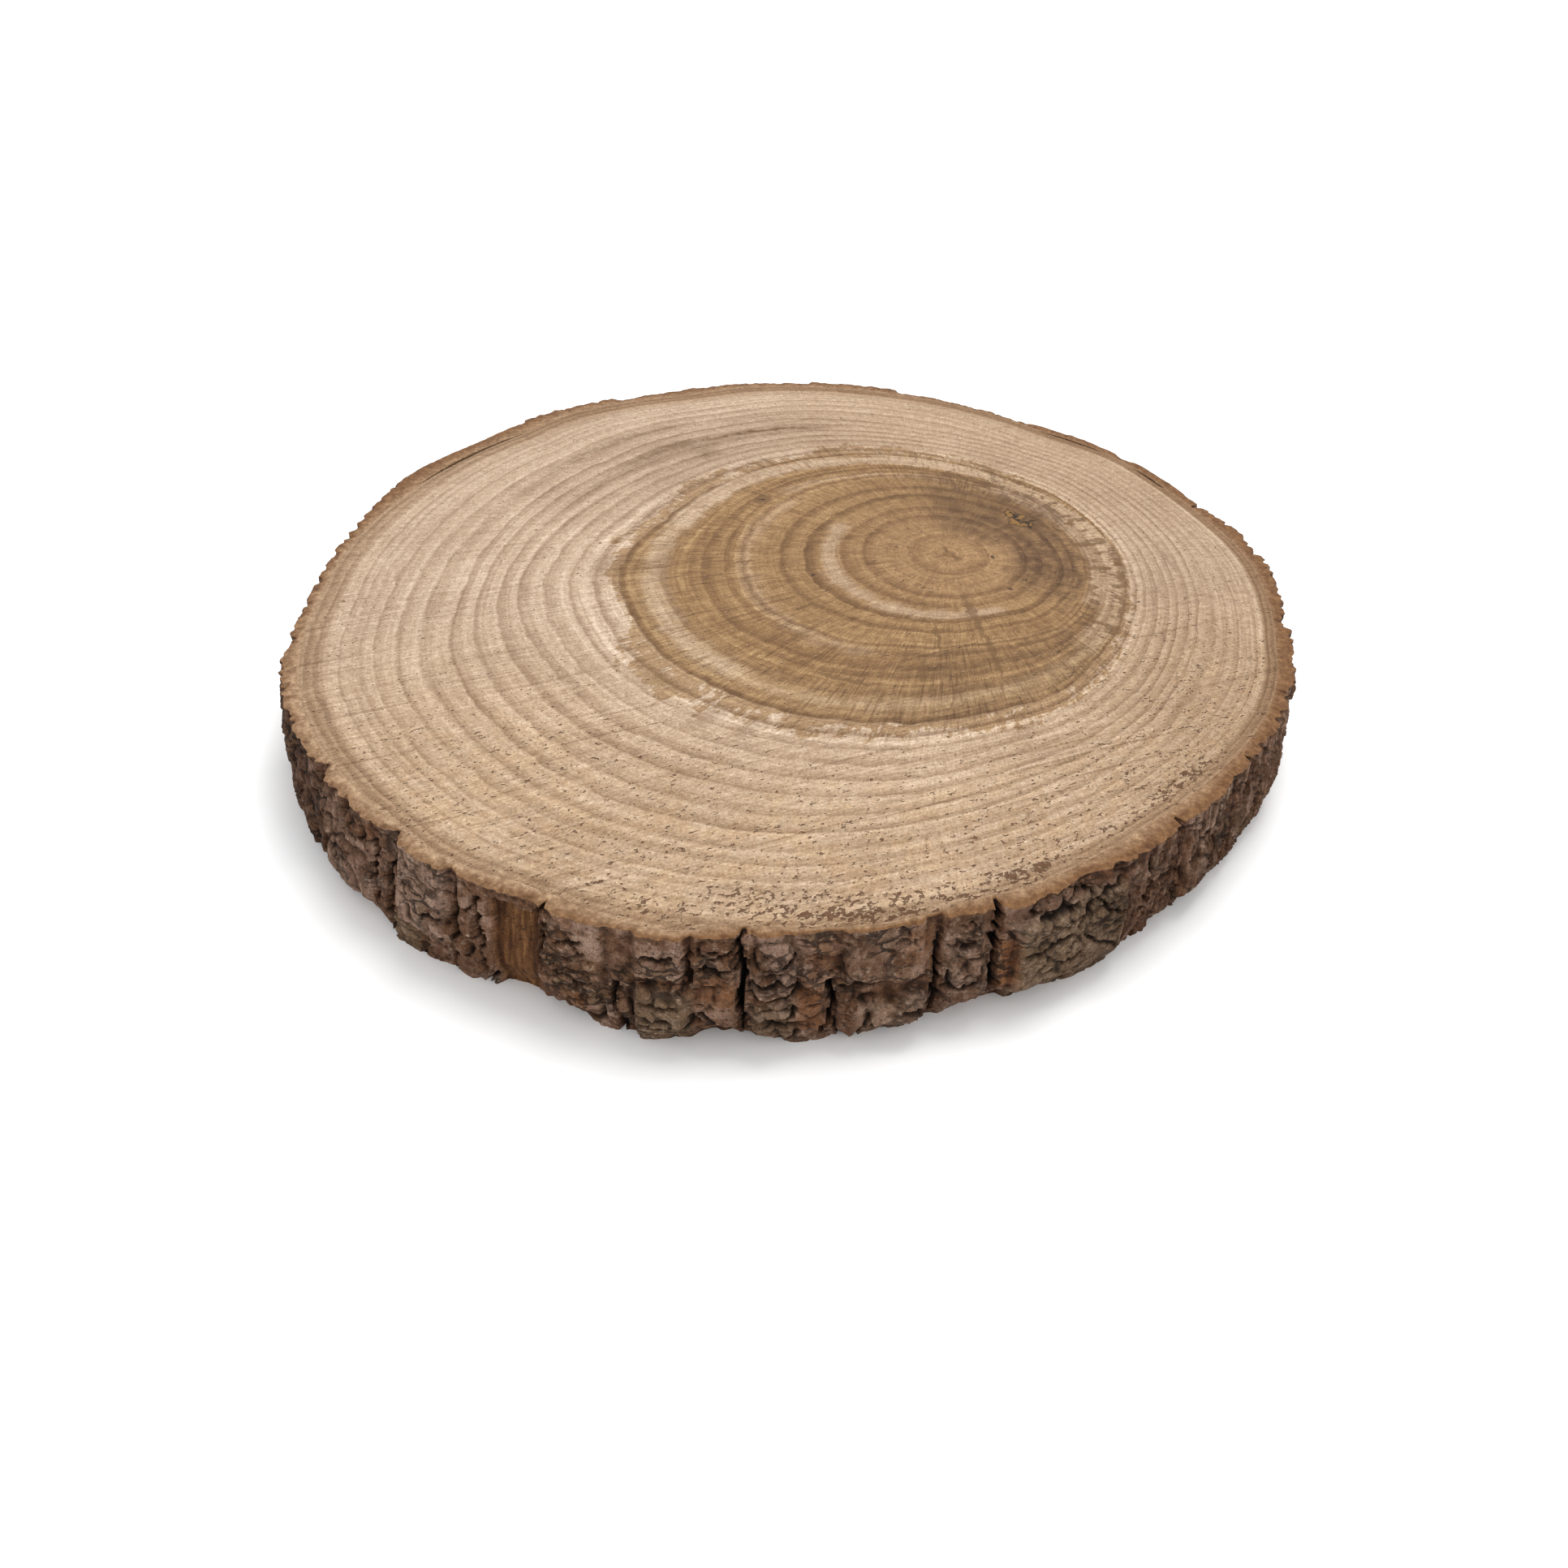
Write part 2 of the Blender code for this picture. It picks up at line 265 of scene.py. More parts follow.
# the wood; its rings are kept as growth, the distance in mm from the pith to the left
wood = {
    "pith": (38.9, 6.7),
    "growth": 151.3,
    "roundness": 0.95,  # how round the rings are near the pith
    # where some rings leave their even places, in mm, every 15 degrees from bearing 0
    "shifts": {
        22: (0,) * 24,
        36: (1.5, 1, 2.5, 2, 3, 3, 2, 1, 0.5, 0.5, 1, 1)
        + (1, 1, 0.5, 0, -0.5, -1, -0.5, -1, -1, 1.5, 1.5, 2.5),
        55: (2.5, 4, 9, 7, 6.5, 6, 4, 3.5, 2.5, 2, 1.5, 1)
        + (0.5, 0.5, 0, -2, -2.5, -5, -5, -4.5, -1.5, 2.5, 2.5, 1.5),
        80: (-0.5, 2, 4.5, 1.5, 1.5, 0.5, -1, -2, -3.5, -3.5, -3, 0)
        + (2, 0.5, 0.5, 0, 0.5, 1, 2.5, 3.5, 6, 2, -0.5, -2),
        102: (2, 3.5, 4.5, 3, 0, -1.5, -2.5, -4, -4.5, -3.5, -1.5, 1)
        + (3, 1.5, 0, 0, 0, 1, 2.5, 3, 5, 5, 2.5, 2),
        121: (-2, 0, 1, -2, -5, -5, -4, -4.5, -5.5, -5.5, -5, -4)
        + (-3, -1, -0.5, 0, 0.5, 0.5, 0, -0.5, 0, -2, -4, -3.5),
        131: (-2, -1, 0, -2, 1, 1, -1.5, -2.5, -3, -4, -3.5, -3)
        + (-1.5, 0, 0.5, 0.5, 0.5, 0, 0, 0, 0, -0.5, -1, -1.5),
    },
    # columns, then the growth of each row from the rim inwards
    "sideRows": 10,
    "topRows": (
        (columns, np.linspace(150.6, 131, 29)),
        (columns // 2, np.linspace(130, 75, 38)),
        (columns // 4, np.linspace(73, 21, 30)),
        (columns // 8, np.linspace(19.5, 7.5, 9)),
        (columns // 32, (6, 4.5, 3, 1.5)),
    ),
    "footRows": (
        (columns, (148.5,)),
        (columns // 2, (145, 138, 131, 121, 111, 102, 91)),
        (columns // 4, (80, 67, 55, 45, 36)),
        (columns // 8, (29, 22, 15)),
        (columns // 32, (9, 4)),
    ),
    # growth, half width and darkness of each dark line; below 0 it is a pale one
    "rings": (
        (1.4, 2.2, 0.6), (3.4, 1, 0.3), (10.2, 1, 0.55), (16.5, 0.7, 0.2), (22.5, 1.1, 0.85),
        (27.6, 1.3, 0.6), (31.5, 1.8, -0.12), (36.2, 1.7, 1), (39.5, 1, -0.15), (42.4, 1.5, 0.75),
        (48.5, 1.6, -0.15), (51.2, 0.5, -0.45), (52.6, 1, 0.7), (54.4, 0.5, -0.5), (56.4, 1, 0.5),
        (61.8, 1.8, 0.65), (64.8, 0.8, 0.4), (67.2, 0.6, -0.5), (70.8, 1.4, 0.45),
        (74.3, 1.2, -0.2), (77.4, 0.8, 0.3), (80.2, 1.3, 1), (83.2, 1.2, -0.25), (85.8, 0.9, 0.7),
        (88.7, 1, -0.4), (91.2, 0.7, 0.45), (96.6, 1, 0.6), (102.3, 1, 0.7), (108.4, 1, 0.65),
        (115.2, 0.9, 0.6), (121, 0.7, 0.75), (126.4, 1.2, 0.5), (131.2, 0.8, 0.5), (136, 0.8, 0.5),
        (139, 0.5, 0.3), (141, 0.5, 0.3), (143.2, 0.6, 0.4), (145.8, 0.8, -0.2), (147.9, 0.6, 0.5),
        (150, 0.6, 0.5),
    ),
    # how far brown streaks run out past the heartwood's last ring, every 15 degrees
    "fringe": (4, 2, 3, 9, 11, 12, 10, 5, 9, 9, 4, 7)
    + (4, 2, 10, 12, 9, 8, 8, 11, 12, 10, 8, 5),
    # stains as first bearing, last bearing, inner and outer reach from the pith, strength
    "stains": (
        (85, 112, 107.3, 109.7, 0.95), (108, 130, 106.6, 110.2, 0.6), (96, 150, 104, 107.5, 0.35),
        (112, 122, 106, 112, 0.6), (110, 138, 122.6, 125.4, 0.55), (112, 117, 94, 101, 0.35),
        (355, 5, 109, 111.5, 0.4), (287, 291, 95.5, 98.5, 0.35), (44, 49, 83, 92, 0.3),
        (283, 286, 30, 44, 0.25), (272, 275, 36, 50, 0.3), (224, 227, 44, 58, 0.3),
        (301, 304, 50, 66, 0.3), (310, 314, 44, 62, 0.3), (214, 222, 84, 90, 0.3),
        (230, 234, 85, 95, 0.3), (238, 241, 86, 94, 0.3), (170, 178, 82, 90, 0.35),
        (345, 364, 74, 81, 0.5), (352, 8, 52, 66, 0.35), (15, 75, 11, 26, 0.3),
        (14, 66, 28, 50, 0.35),
    ),
    # paler places inside the heartwood: first and last bearing, inner and outer growth, share
    "clear": (
        (75, 155, 69.8, 77.2, 0.75), (155, 228, 71.5, 76.8, 0.5), (228, 320, 73, 76, 0.25),
        (40, 78, 70, 80.5, 0.8), (334, 44, 54, 80, 0.6), (316, 340, 66, 80, 0.5),
        (128, 305, 29.8, 33.8, 0.5), (120, 250, 50.8, 54.6, 0.25), (60, 120, 57, 60.5, 0.3),
    ),
    # small marks: place, half length, half width in mm, and the bearing of the length
    "streaks": (
        (37.6, -21.5, 8.5, 0.9, 90), (37.9, -38, 7.5, 0.6, 88), (27, -29.5, 5, 0.5, 82),
        (74.9, 8.5, 4.4, 0.8, 2), (78.8, 10.4, 2.2, 0.6, 3), (75.2, 20, 1.8, 0.8, 75),
        (78.6, -7.8, 2, 0.9, 80), (73.8, -3.2, 1.3, 0.9, 0), (76.6, -3.4, 1.1, 0.8, 0),
        (80.6, -1.9, 1.3, 0.6, 0), (80.9, 2.9, 1.3, 0.6, 0), (79.3, 0.6, 0.9, 0.5, 0),
        (69.8, -12.4, 1.6, 0.8, 60), (66.8, -5.7, 1.2, 0.8, 0), (66.5, -27.5, 4.5, 0.6, -40),
        (68.9, -31, 1.7, 0.9, 60), (74.3, -21, 5.5, 0.6, 65), (67.4, 43.6, 7.6, 0.55, -48),
        (59.3, 42.6, 3, 1, -30), (49.5, 50.5, 1.8, 0.8, 60), (-13.6, 7.6, 3, 0.5, 2),
        (-1.5, -14, 2.6, 0.5, 25), (3, -44, 5, 0.7, -28), (20.5, -42, 3.6, 0.5, 75),
        (-4.8, 39.8, 2.4, 1.4, 45),
    ),
    "pinholes": (
        (26, 11.3, 0.5, 0.4, 0), (2.8, -0.2, 0.5, 0.4, 0), (49.5, 4.4, 0.7, 0.4, 50),
        (54.3, -7, 0.6, 0.4, 30), (49.7, -10.8, 0.5, 0.4, 0), (28.6, -8.6, 0.5, 0.4, 0),
        (-4.4, 39.5, 0.6, 0.5, 0), (74.1, -27.8, 0.7, 0.4, 20), (53.2, -38.5, 0.5, 0.4, 0),
    ),
    "knot": (
        (60.6, 26.4, 2, 1.3, 80), (62.4, 24.2, 1.7, 1.1, 10), (60.4, 21.9, 1.9, 1.1, 95),
        (62.8, 20, 1.8, 1, 5),
    ),
    "knotCracks": (
        (61.3, 24.4, 3.2, 0.35, 96), (64.4, 21.5, 2.1, 0.3, 20), (63.5, 19.6, 1.7, 0.3, 75),
    ),
    # torn grain as first bearing, last bearing, inner and outer radius from the middle, share
    "torn": (
        (238, 264, 111, 118, 0.4), (252, 286, 107, 115, 0.6), (259, 272, 110.5, 114.5, 1),
        (279, 288, 106, 109.5, 1), (288, 300, 104, 107.5, 0.6), (300, 313, 103, 107, 0.8),
        (331, 339, 106, 109, 0.5), (180, 188, 106, 113, 0.3), (240, 320, 90, 106, 0.3),
    ),
    "pitDepth": 0.5,
    "sawTurn": 14,  # bearing of the saw marks
}

broadWaves = np.fft.rfft(cambium)[:4] / len(cambium)
ringSide = [0, *wood["shifts"], wood["growth"]]
shiftLists = [(0,) * 24, *wood["shifts"].values(), (0,) * 24]


def cambiumRadius(bearing):
    return closedCurve(cambium, bearing)


def roundCambium(bearing):
    # the cambium with only its broad waves, for the inner rings
    angle = np.radians(bearing)
    radius = broadWaves[0].real
    for number in (1, 2, 3):
        wave = broadWaves[number] * np.exp(1j * number * angle)
        radius = radius + 2 * wave.real
    return radius


def growthSpot(bearing, growth):
    # where a point of the rings lies on the cut face, and its reach from the pith
    reach = np.array(growth, float)
    for k in range(len(ringSide) - 1):
        share = np.clip((growth - ringSide[k]) / (ringSide[k + 1] - ringSide[k]), 0, 1)
        step = closedCurve(shiftLists[k + 1], bearing) - closedCurve(shiftLists[k], bearing)
        reach = reach + share * step
    apart = 1 - (1 - np.clip((reach - 10) / 100, 0, 1)) ** 2
    rim = np.clip(reach / wood["growth"], 0, 1.05) ** 4
    radius = roundCambium(bearing) * (1 - rim) + cambiumRadius(bearing) * rim
    angle = np.radians(bearing)
    edge = np.stack([radius * np.cos(angle), radius * np.sin(angle)], -1)
    across = edge - np.array(wood["pith"])
    far = np.maximum(np.linalg.norm(across, axis=-1), 1e-6)
    length = reach * ((1 - apart) * wood["roundness"] + apart * far / wood["growth"])
    return np.array(wood["pith"]) + across * (length / far)[..., None], reach


def nextRow(shape, edges):
    # extrudes a ring of edges in place and gives the new ring's points and edges
    grown = bmesh.ops.extrude_edge_only(shape, edges=edges)["geom"]
    corners = [part for part in grown if isinstance(part, bmesh.types.BMVert)]
    return corners, ringOf(corners)


def ringOf(corners):
    inside = set(corners)
    found = {edge for corner in corners for edge in corner.link_edges}
    return [edge for edge in found if inside.issuperset(edge.verts)]


def growRows(shape, plan, height, edges):
    # rows of the disc from the rim inwards, welded to fewer columns towards the pith
    count, radius = columns, wood["growth"]
    for segments, rows in plan:
        for following in rows:
            corners, edges = nextRow(shape, edges)
            bmesh.ops.scale(shape, vec=(following / radius, following / radius, 1), verts=corners)
            radius = following
            if segments < count:
                ratio = count // segments
                order = {}
                for corner in corners:
                    angle = math.atan2(corner.co.y, corner.co.x)
                    order[round(angle / math.tau * count) % count] = corner
                welded = {order[k]: order[k - k % ratio] for k in range(count) if k % ratio}
                bmesh.ops.weld_verts(shape, targetmap=welded)
                corners = [order[k] for k in range(0, count, ratio)]
                edges = ringOf(corners)
                count = segments
    corners, edges = nextRow(shape, edges)
    bmesh.ops.pointmerge(shape, verts=corners, merge_co=(0, 0, height))


def woodShape():
    # the disc is built round, with growth as its radius and 0 to 1 as its height
    shape = bmesh.new()
    rim = wood["growth"]
    foot = ringOf(bmesh.ops.create_circle(shape, segments=columns, radius=rim)["verts"])
    edges = foot
    for _ in range(wood["sideRows"]):
        corners, edges = nextRow(shape, edges)
        bmesh.ops.translate(shape, vec=(0, 0, 1 / wood["sideRows"]), verts=corners)
    growRows(shape, wood["topRows"], 1, edges)
    growRows(shape, wood["footRows"], 0, foot)
    bmesh.ops.recalc_face_normals(shape, faces=shape.faces[:])
    return shape


def paintWood(mesh, bearing, growth, reach, spot, top):
    # stains, torn grain and broad tones, kept at the points of the mesh
    flat = np.column_stack([spot, np.zeros(len(spot))])
    ragged = reach + 1.3 * grain(flat / 4, 21) + 0.7 * grain(flat / 1.5, 22)
    around = np.degrees(np.arctan2(spot[:, 1], spot[:, 0])) % 360
    radius = np.hypot(spot[:, 0], spot[:, 1])

    def place(first, last, inner, outer, soft, edge):
        # 1 between two bearings and two growths
        return sector(bearing, first, last, soft) * between(growth, inner, outer, edge)

    stain, clear = np.zeros(len(bearing)), np.zeros(len(bearing))
    for first, last, inner, outer, strength in wood["stains"]:
        soft = min(6, (last - first) % 360 / 3)
        share = sector(bearing, first, last, soft) * between(ragged, inner, outer, 1.0)
        stain = np.maximum(stain, share * strength)
    for first, last, inner, outer, strength in wood["clear"]:
        share = sector(bearing, first, last, 5) * between(ragged, inner, outer, 0.9)
        clear = np.maximum(clear, share * strength)
    front = sector(around, 205, 345, 20) * smooth(50, 95, radius)
    torn = 0.05 + 0.2 * front
    for first, last, inner, outer, strength in wood["torn"]:
        share = sector(around, first, last, 3) * between(radius, inner, outer, 1.6)
        torn = np.maximum(torn, share * strength)
    torn = np.where(top, torn, 0.1)

    # broad tones: darker to the right of the pith, paler behind it and at the left of the rim
    grey = np.maximum(place(332, 50, 18, 52, 14, 5) * 0.9, place(12, 66, 12, 62, 12, 3) * 0.8)
    grey = np.maximum(grey, place(250, 330, 50, 82, 20, 6) * 0.35)
    dim = np.maximum(place(65, 145, 84, 128, 25, 8), place(300, 60, 84, 150, 25, 8) * 0.7)
    dashes = np.maximum(place(318, 50, 54, 81, 8, 2.5), place(50, 112, 80, 87, 8, 1.5) * 0.7)
    outward = (growth - 80) / np.maximum(closedCurve(wood["fringe"], bearing), 2)
    behind, sharp = sector(bearing, 320, 130, 25), sector(bearing, 325, 35, 12)
    start, end = 142.5 - 1.5 * behind + 4.5 * sharp, 150 - 1.5 * behind - sharp
    painted = {
        "clear": clear,
        "fringe": np.where(outward < 0, 0, np.clip(1 - outward / 1.4, 0, 1)),
        "dashes": dashes,
        "stain": stain,
        "torn": torn,
        "grey": grey,
        "gold": front + 0.5 * sector(around, 10, 80, 20) * smooth(40, 80, radius),
        "dim": dim,
        "rimShade": smooth(start, end, growth) * (0.75 + 0.25 * behind),
    }
    for name, values in painted.items():
        setAttribute(mesh, name, values)
    return torn, around, radius


def pitRelief(mesh, spot, torn, top):
    # torn grain leaves short pits that lie along the saw's path, each with a painted highlight on its lip
    angle = math.radians(wood["sawTurn"])
    along = spot[:, 0] * math.cos(angle) + spot[:, 1] * math.sin(angle)
    across = spot[:, 1] * math.cos(angle) - spot[:, 0] * math.sin(angle)
    there = top & (torn > 0.2)
    spots = np.stack([along / 1.5, across / 0.9, np.zeros(len(along))], -1)[there]
    need = 0.75 - 0.62 * torn[there]
    found = []
    for lift in ((0, 0, 0), (0.1, -0.55, 0)):
        value = grain(spots + lift) + 0.5 * grain((spots + lift) * 2.1, 7)
        found.append(smooth(need, need + 0.35, value))
    pit, lipHighlight = np.zeros(len(torn)), np.zeros(len(torn))
    pit[there] = found[0]
    # a painted highlight where the shifted pit lies beside the real one
    lipHighlight[there] = np.clip(found[1] - found[0], 0, 1)
    setAttribute(mesh, "lipHighlight", lipHighlight)
    setAttribute(mesh, "pit", pit)
    return pit * wood["pitDepth"]


def setUv(mesh, bearing, growth):
    # the map's U is the bearing and its V the growth, with the seam at bearing 0
    corner = np.zeros(len(mesh.loops), int)
    mesh.loops.foreach_get("vertex_index", corner)
    start = np.zeros(len(mesh.polygons), int)
    mesh.polygons.foreach_get("loop_start", start)
    count = np.diff(np.append(start, len(corner)))
    u = bearing[corner] / 360
    v = growth[corner] / mapReach
    middle = growth[corner] < 0.01
    largest = np.repeat(np.maximum.reduceat(np.where(middle, 0, u), start), count)
    u = np.where((largest - u > 0.5) & ~middle, u + 1, u)
    mean = np.add.reduceat(np.where(middle, 0, u), start) / np.maximum(
        np.add.reduceat((~middle).astype(float), start), 1
    )
    u = np.where(middle, np.repeat(mean, count), u)
    layer = mesh.uv_layers.new(name="growth")
    layer.data.foreach_set("uv", np.stack([u, v], -1).astype(np.float32).ravel())


def rimLine(bearing):
    # where the wood meets the bark, drawn in where a fissure comes near it
    place = np.asarray(bearing) % 360 / 360 * columns
    first = np.floor(place).astype(int)
    share = place - first
    return meeting[first % columns] * (1 - share) + meeting[(first + 1) % columns] * share


def makeWood():
    mesh = bpy.data.meshes.new("trunkWood")
    shape = woodShape()
    shape.to_mesh(mesh)
    shape.free()
    spots = np.zeros(len(mesh.vertices) * 3)
    mesh.vertices.foreach_get("co", spots)
    spots = spots.reshape(-1, 3)
    growth = np.hypot(spots[:, 0], spots[:, 1])
    bearing = np.degrees(np.arctan2(spots[:, 1], spots[:, 0])) % 360
    height = np.clip(spots[:, 2], 0, 1) * thickness
    top = spots[:, 2] > 0.999
    spot, reach = growthSpot(bearing, growth)
    setUv(mesh, bearing, growth)
    torn, around, radius = paintWood(mesh, bearing, growth, reach, spot, top)
    depth = pitRelief(mesh, spot, torn, top)
    rim = growth > wood["growth"] - 0.01
    middle, half = slitHalf(bearing, height)
    edge = np.minimum(radius, rimLine(around) - (wood["growth"] - growth) * 0.04)
    edge = np.where((half > 0) & rim, np.minimum(edge, middle - half), edge)
    angle = np.radians(around)
    placed = np.stack([edge * np.cos(angle), edge * np.sin(angle), height - depth], -1)
    mesh.vertices.foreach_set("co", (placed * mm).astype(np.float32).ravel())
    mesh.update()
    for side in mesh.polygons:
        side.use_smooth = True
    mesh.set_sharp_from_angle(angle=math.radians(50))
    mesh.materials.append(woodMaterial())
    return newPiece("trunkWood", mesh)


woodColours = {
    "pithWood": (146, 113, 77),
    "heart": (140, 108, 71),
    "heartEdge": (153, 123, 87),
    "sap": (182, 158, 134),
    "gold": (177, 148, 117),
    "rim": (140, 110, 81),
    "stain": (102, 74, 44),
    "dash": (102, 75, 47),
    "knot": (134, 98, 51),
    "knotCrack": (41, 26, 15),
    # the pits' brown: torn fibres, darkened further as painted shade in them
    "pit": (86, 52, 27),
    # a painted highlight on the lips of the pits
    "lipHighlight": (204, 178, 146),
    "grey": (95, 68, 44),
}
woodPaint = linear(woodColours)
# how much each kind of mark darkens or pales the wood, in halvings
woodTones = {
    "rings": 1.6,
    "rays": 0.6,
    "threads": 0.9,
    "fibre": 1.9,
    "blotch": 0.6,
    "crumb": 1.1,
    "heartRays": 0.7,
    "heartBlots": 1.2,
    "bars": -0.6,
    "dim": -0.3,
    "marks": 1.1,  # of the saw
    "scratch": 0.6,
}


def ringLevel(growth):
    # the lines of growth, above 0 where pale; a dark line comes on slowly and ends sharply
    stops = []
    places = [-5, *(line[0] for line in wood["rings"]), mapReach]
    for number, (place, half, dark) in enumerate(wood["rings"], 1):
        before = min(half * 3.4, (place - places[number - 1]) * 0.5)
        after = min(half * 2.5, (places[number + 1] - place) * 0.45)
        stops.append(
            (
                (place - before, 0.5),
                (place - min(half * 0.7, before * 0.5), 0.5 - dark * 0.34),
                (place + min(half * 0.3, after * 0.3), 0.5 - dark / 2),
                (place + min(half, after * 0.7), 0.5 + dark * 0.06),
                (place + after, 0.5),
            )
        )
    level = 0.0
    for start in range(0, len(stops), 6):
        held = [stop for line in stops[start : start + 6] for stop in line]
        first, last = held[0][0], held[-1][0]
        value = spread(growth, first, last, kind="LINEAR")
        found = rampOf(value, [((p - first) / (last - first), v) for p, v in held])
        level = plus(minus(found, 0.5), level)
    return level


def nearMarks(place, marks):
    # how far a spot is from the nearest mark, where 1 is the mark's edge
    found = 9.0
    for x, y, long, wide, bearing in marks:
        values = {
            "Vector": place,
            "Location": (x * mm, y * mm, thickness * mm),
            "Rotation": (0, 0, math.radians(bearing)),
            "Scale": (long * mm, wide * mm, 10 * mm),
        }
        local = addNode("Mapping", values, vector_type="TEXTURE").outputs[0]
        found = smaller(found, vectors("LENGTH", {0: local})["Value"])
    return found


def polarFrom(angle, growth):
    # gives a maker of noise places whose unit is so many degrees round and so many mm out
    east, north = cosine(angle), sine(angle)

    def polar(degrees, length):
        turns = math.degrees(1) / degrees
        parts = (times(east, turns), times(north, turns), times(growth, 1 / length))
        return addNode("CombineXYZ", dict(enumerate(parts))).outputs[0]

    return polar


def heartwood(polar, aged):
    # base colour by growth, with the heartwood's brown running out in blotches
    ragged = noiseOf(polar(0.9, 5), 3, 0.6)
    blots = scaled(ragged, 0.6, noiseOf(polar(5, 5), 3, 0.6))
    fringe, clear = attribute("fringe"), attribute("clear")
    need = spread(fringe, 0, 1, 1.0, 0.6, "LINEAR")
    outside = times(spread(minus(blots, need), -0.02, 0.05), spread(fringe, 0, 0.3, 0, 0.8))
    clear = times(clear, spread(ragged, 0.35, 0.65, 1.1, 0.7))
    inner = minus(spread(aged, 80.2, 81.4, 1, 0), clear, clamp=True)
    stops = ((0, "pithWood"), (0.21, "pithWood"), (0.3, "heart"), (0.68, "heart"))
    stops += ((0.75, "heartEdge"), (0.82, "heart"), (1, "heart"))
    stops = [(place, woodPaint[name]) for place, name in stops]
    core = rampOf(spread(aged, 0, 100, kind="LINEAR"), stops)
    golden = times(attribute("gold"), spread(blots, 0.6, 1.0, 0.4, 1))
    colour = mixed(golden, woodPaint["sap"], woodPaint["gold"])
    colour = mixed(larger(inner, outside), colour, core)
    dash = spread(noiseOf(polar(2.2, 12), 1, 0.5), 0.54, 0.62)
    colour = mixed(times(times(dash, attribute("dashes")), 0.7), colour, woodPaint["dash"])
    mottle = spread(noiseOf(polar(7, 6), 3, 0.6), 0.35, 0.65)
    grey = times(attribute("grey"), spread(mottle, 0, 1, 0.45, 1))
    colour = mixed(grey, colour, woodPaint["grey"])
    return mixed(attribute("rimShade"), colour, woodPaint["rim"]), inner, blots


def woodTone(polar, aged, inner, blots, fibre, here):
    # rays, bars along them and fine grain, which darken or pale the colour
    rays = noiseOf(polar(0.35, 12), 2, 0.6)
    bars = spread(noiseOf(polar(0.8, 7), 1.5), 0.54, 0.7)
    reach = ((0.12, 0), (0.2, 0.35), (0.3, 0.8), (0.48, 0.9), (0.53, 0.5), (0.58, 0.05), (1, 0.02))
    bars = times(bars, rampOf(spread(aged, 0, mapReach, kind="LINEAR"), reach))
    found = {
        "rays": rays,
        "threads": noiseOf(polar(50, 0.9), 2, 0.6),
        "fibre": fibre,
        "blotch": cloud(here, 45, 3, 0.55),
        "crumb": cloud(here, 600, 3, 0.6),
    }
    tone = times(times(minus(rays, 0.5), inner), woodTones["heartRays"])
    tone = scaled(times(minus(blots, 0.8), inner), woodTones["heartBlots"], tone)
    for name, value in found.items():
        tone = swing(value, woodTones[name], tone)
    tone = scaled(bars, woodTones["bars"], tone)
    return scaled(attribute("dim"), woodTones["dim"], tone)


def sawMarks(here, turned):
    # straight lines across the whole face, faint ones and long scratches, plainest at the front
    marks = cloud(turned, (22, 1900, 1), 2, 0.55)
    long = noiseOf(mapped(turned, (20, 620, 1), location=(3, 5, 0)), 1, 0.5)
    scratch = times(spread(long, 0.61, 0.69), spread(marks, 0.42, 0.56))
    place = addNode("SeparateXYZ", {0: here}).outputs
    sawn = spread(scaled(place[0], 0.35, place[1]), 0.06, -0.08, 0.35, 1)
    return marks, times(scratch, sawn), sawn


def markedWood(colour, here):
    # streaks, pinholes and the knot, with their edges bent by a fine noise
    warp = addNode("TexNoise", {"Vector": mapped(here, (700, 700, 700)), "Scale": 1.0})
    warp = vectors("SUBTRACT", {0: warp.outputs["Color"], 1: (0.5, 0.5, 0.5)})[0]
    warp = vectors("SCALE", {0: warp, "Scale": 0.003})[0]
    bent = vectors("ADD", {0: here, 1: warp})[0]
    near = {name: nearMarks(bent, wood[name]) for name in ("streaks", "pinholes", "knot", "knotCracks")}
    for name, outer, inner, share, paint in (
        ("streaks", 1.5, 0.9, 0.7, "stain"),
        ("pinholes", 1.4, 0.8, 0.8, "knotCrack"),
        ("knot", 1.45, 1.05, 0.7, "knotCrack"),
        ("knot", 1.1, 0.8, 0.9, "knot"),
        ("knotCracks", 1.45, 0.9, 0.95, "knotCrack"),
    ):
        colour = mixed(spread(near[name], outer, inner, 0, share), colour, woodPaint[paint])
    return colour


def tornWood(colour, turned):
    # torn grain: specks everywhere, and pits where the mesh has them, brown for the torn fibres and darkened
    # as painted shade, with painted highlights on their lips
    need = spread(attribute("torn"), 0, 1, 0.7, 0.46, "LINEAR")
    speck, lifted = (
        spread(minus(noiseOf(mapped(turned, (860, 1250, 860), location=(0, lift, 0)), 2, 0.6), need), 0, 0.05)
        for lift in (0, -0.45)
    )
    # painted highlight on the lips beside each speck and pit
    lipHighlight = larger(minus(lifted, speck, clamp=True), times(attribute("lipHighlight"), 0.5))
    colour = mixed(times(lipHighlight, 0.3), colour, woodPaint["lipHighlight"])
    # the pits and specks darken: torn fibres, and painted shade
    pit = larger(times(attribute("pit"), 0.55), times(speck, 0.85))
    return mixed(pit, colour, woodPaint["pit"]), speck


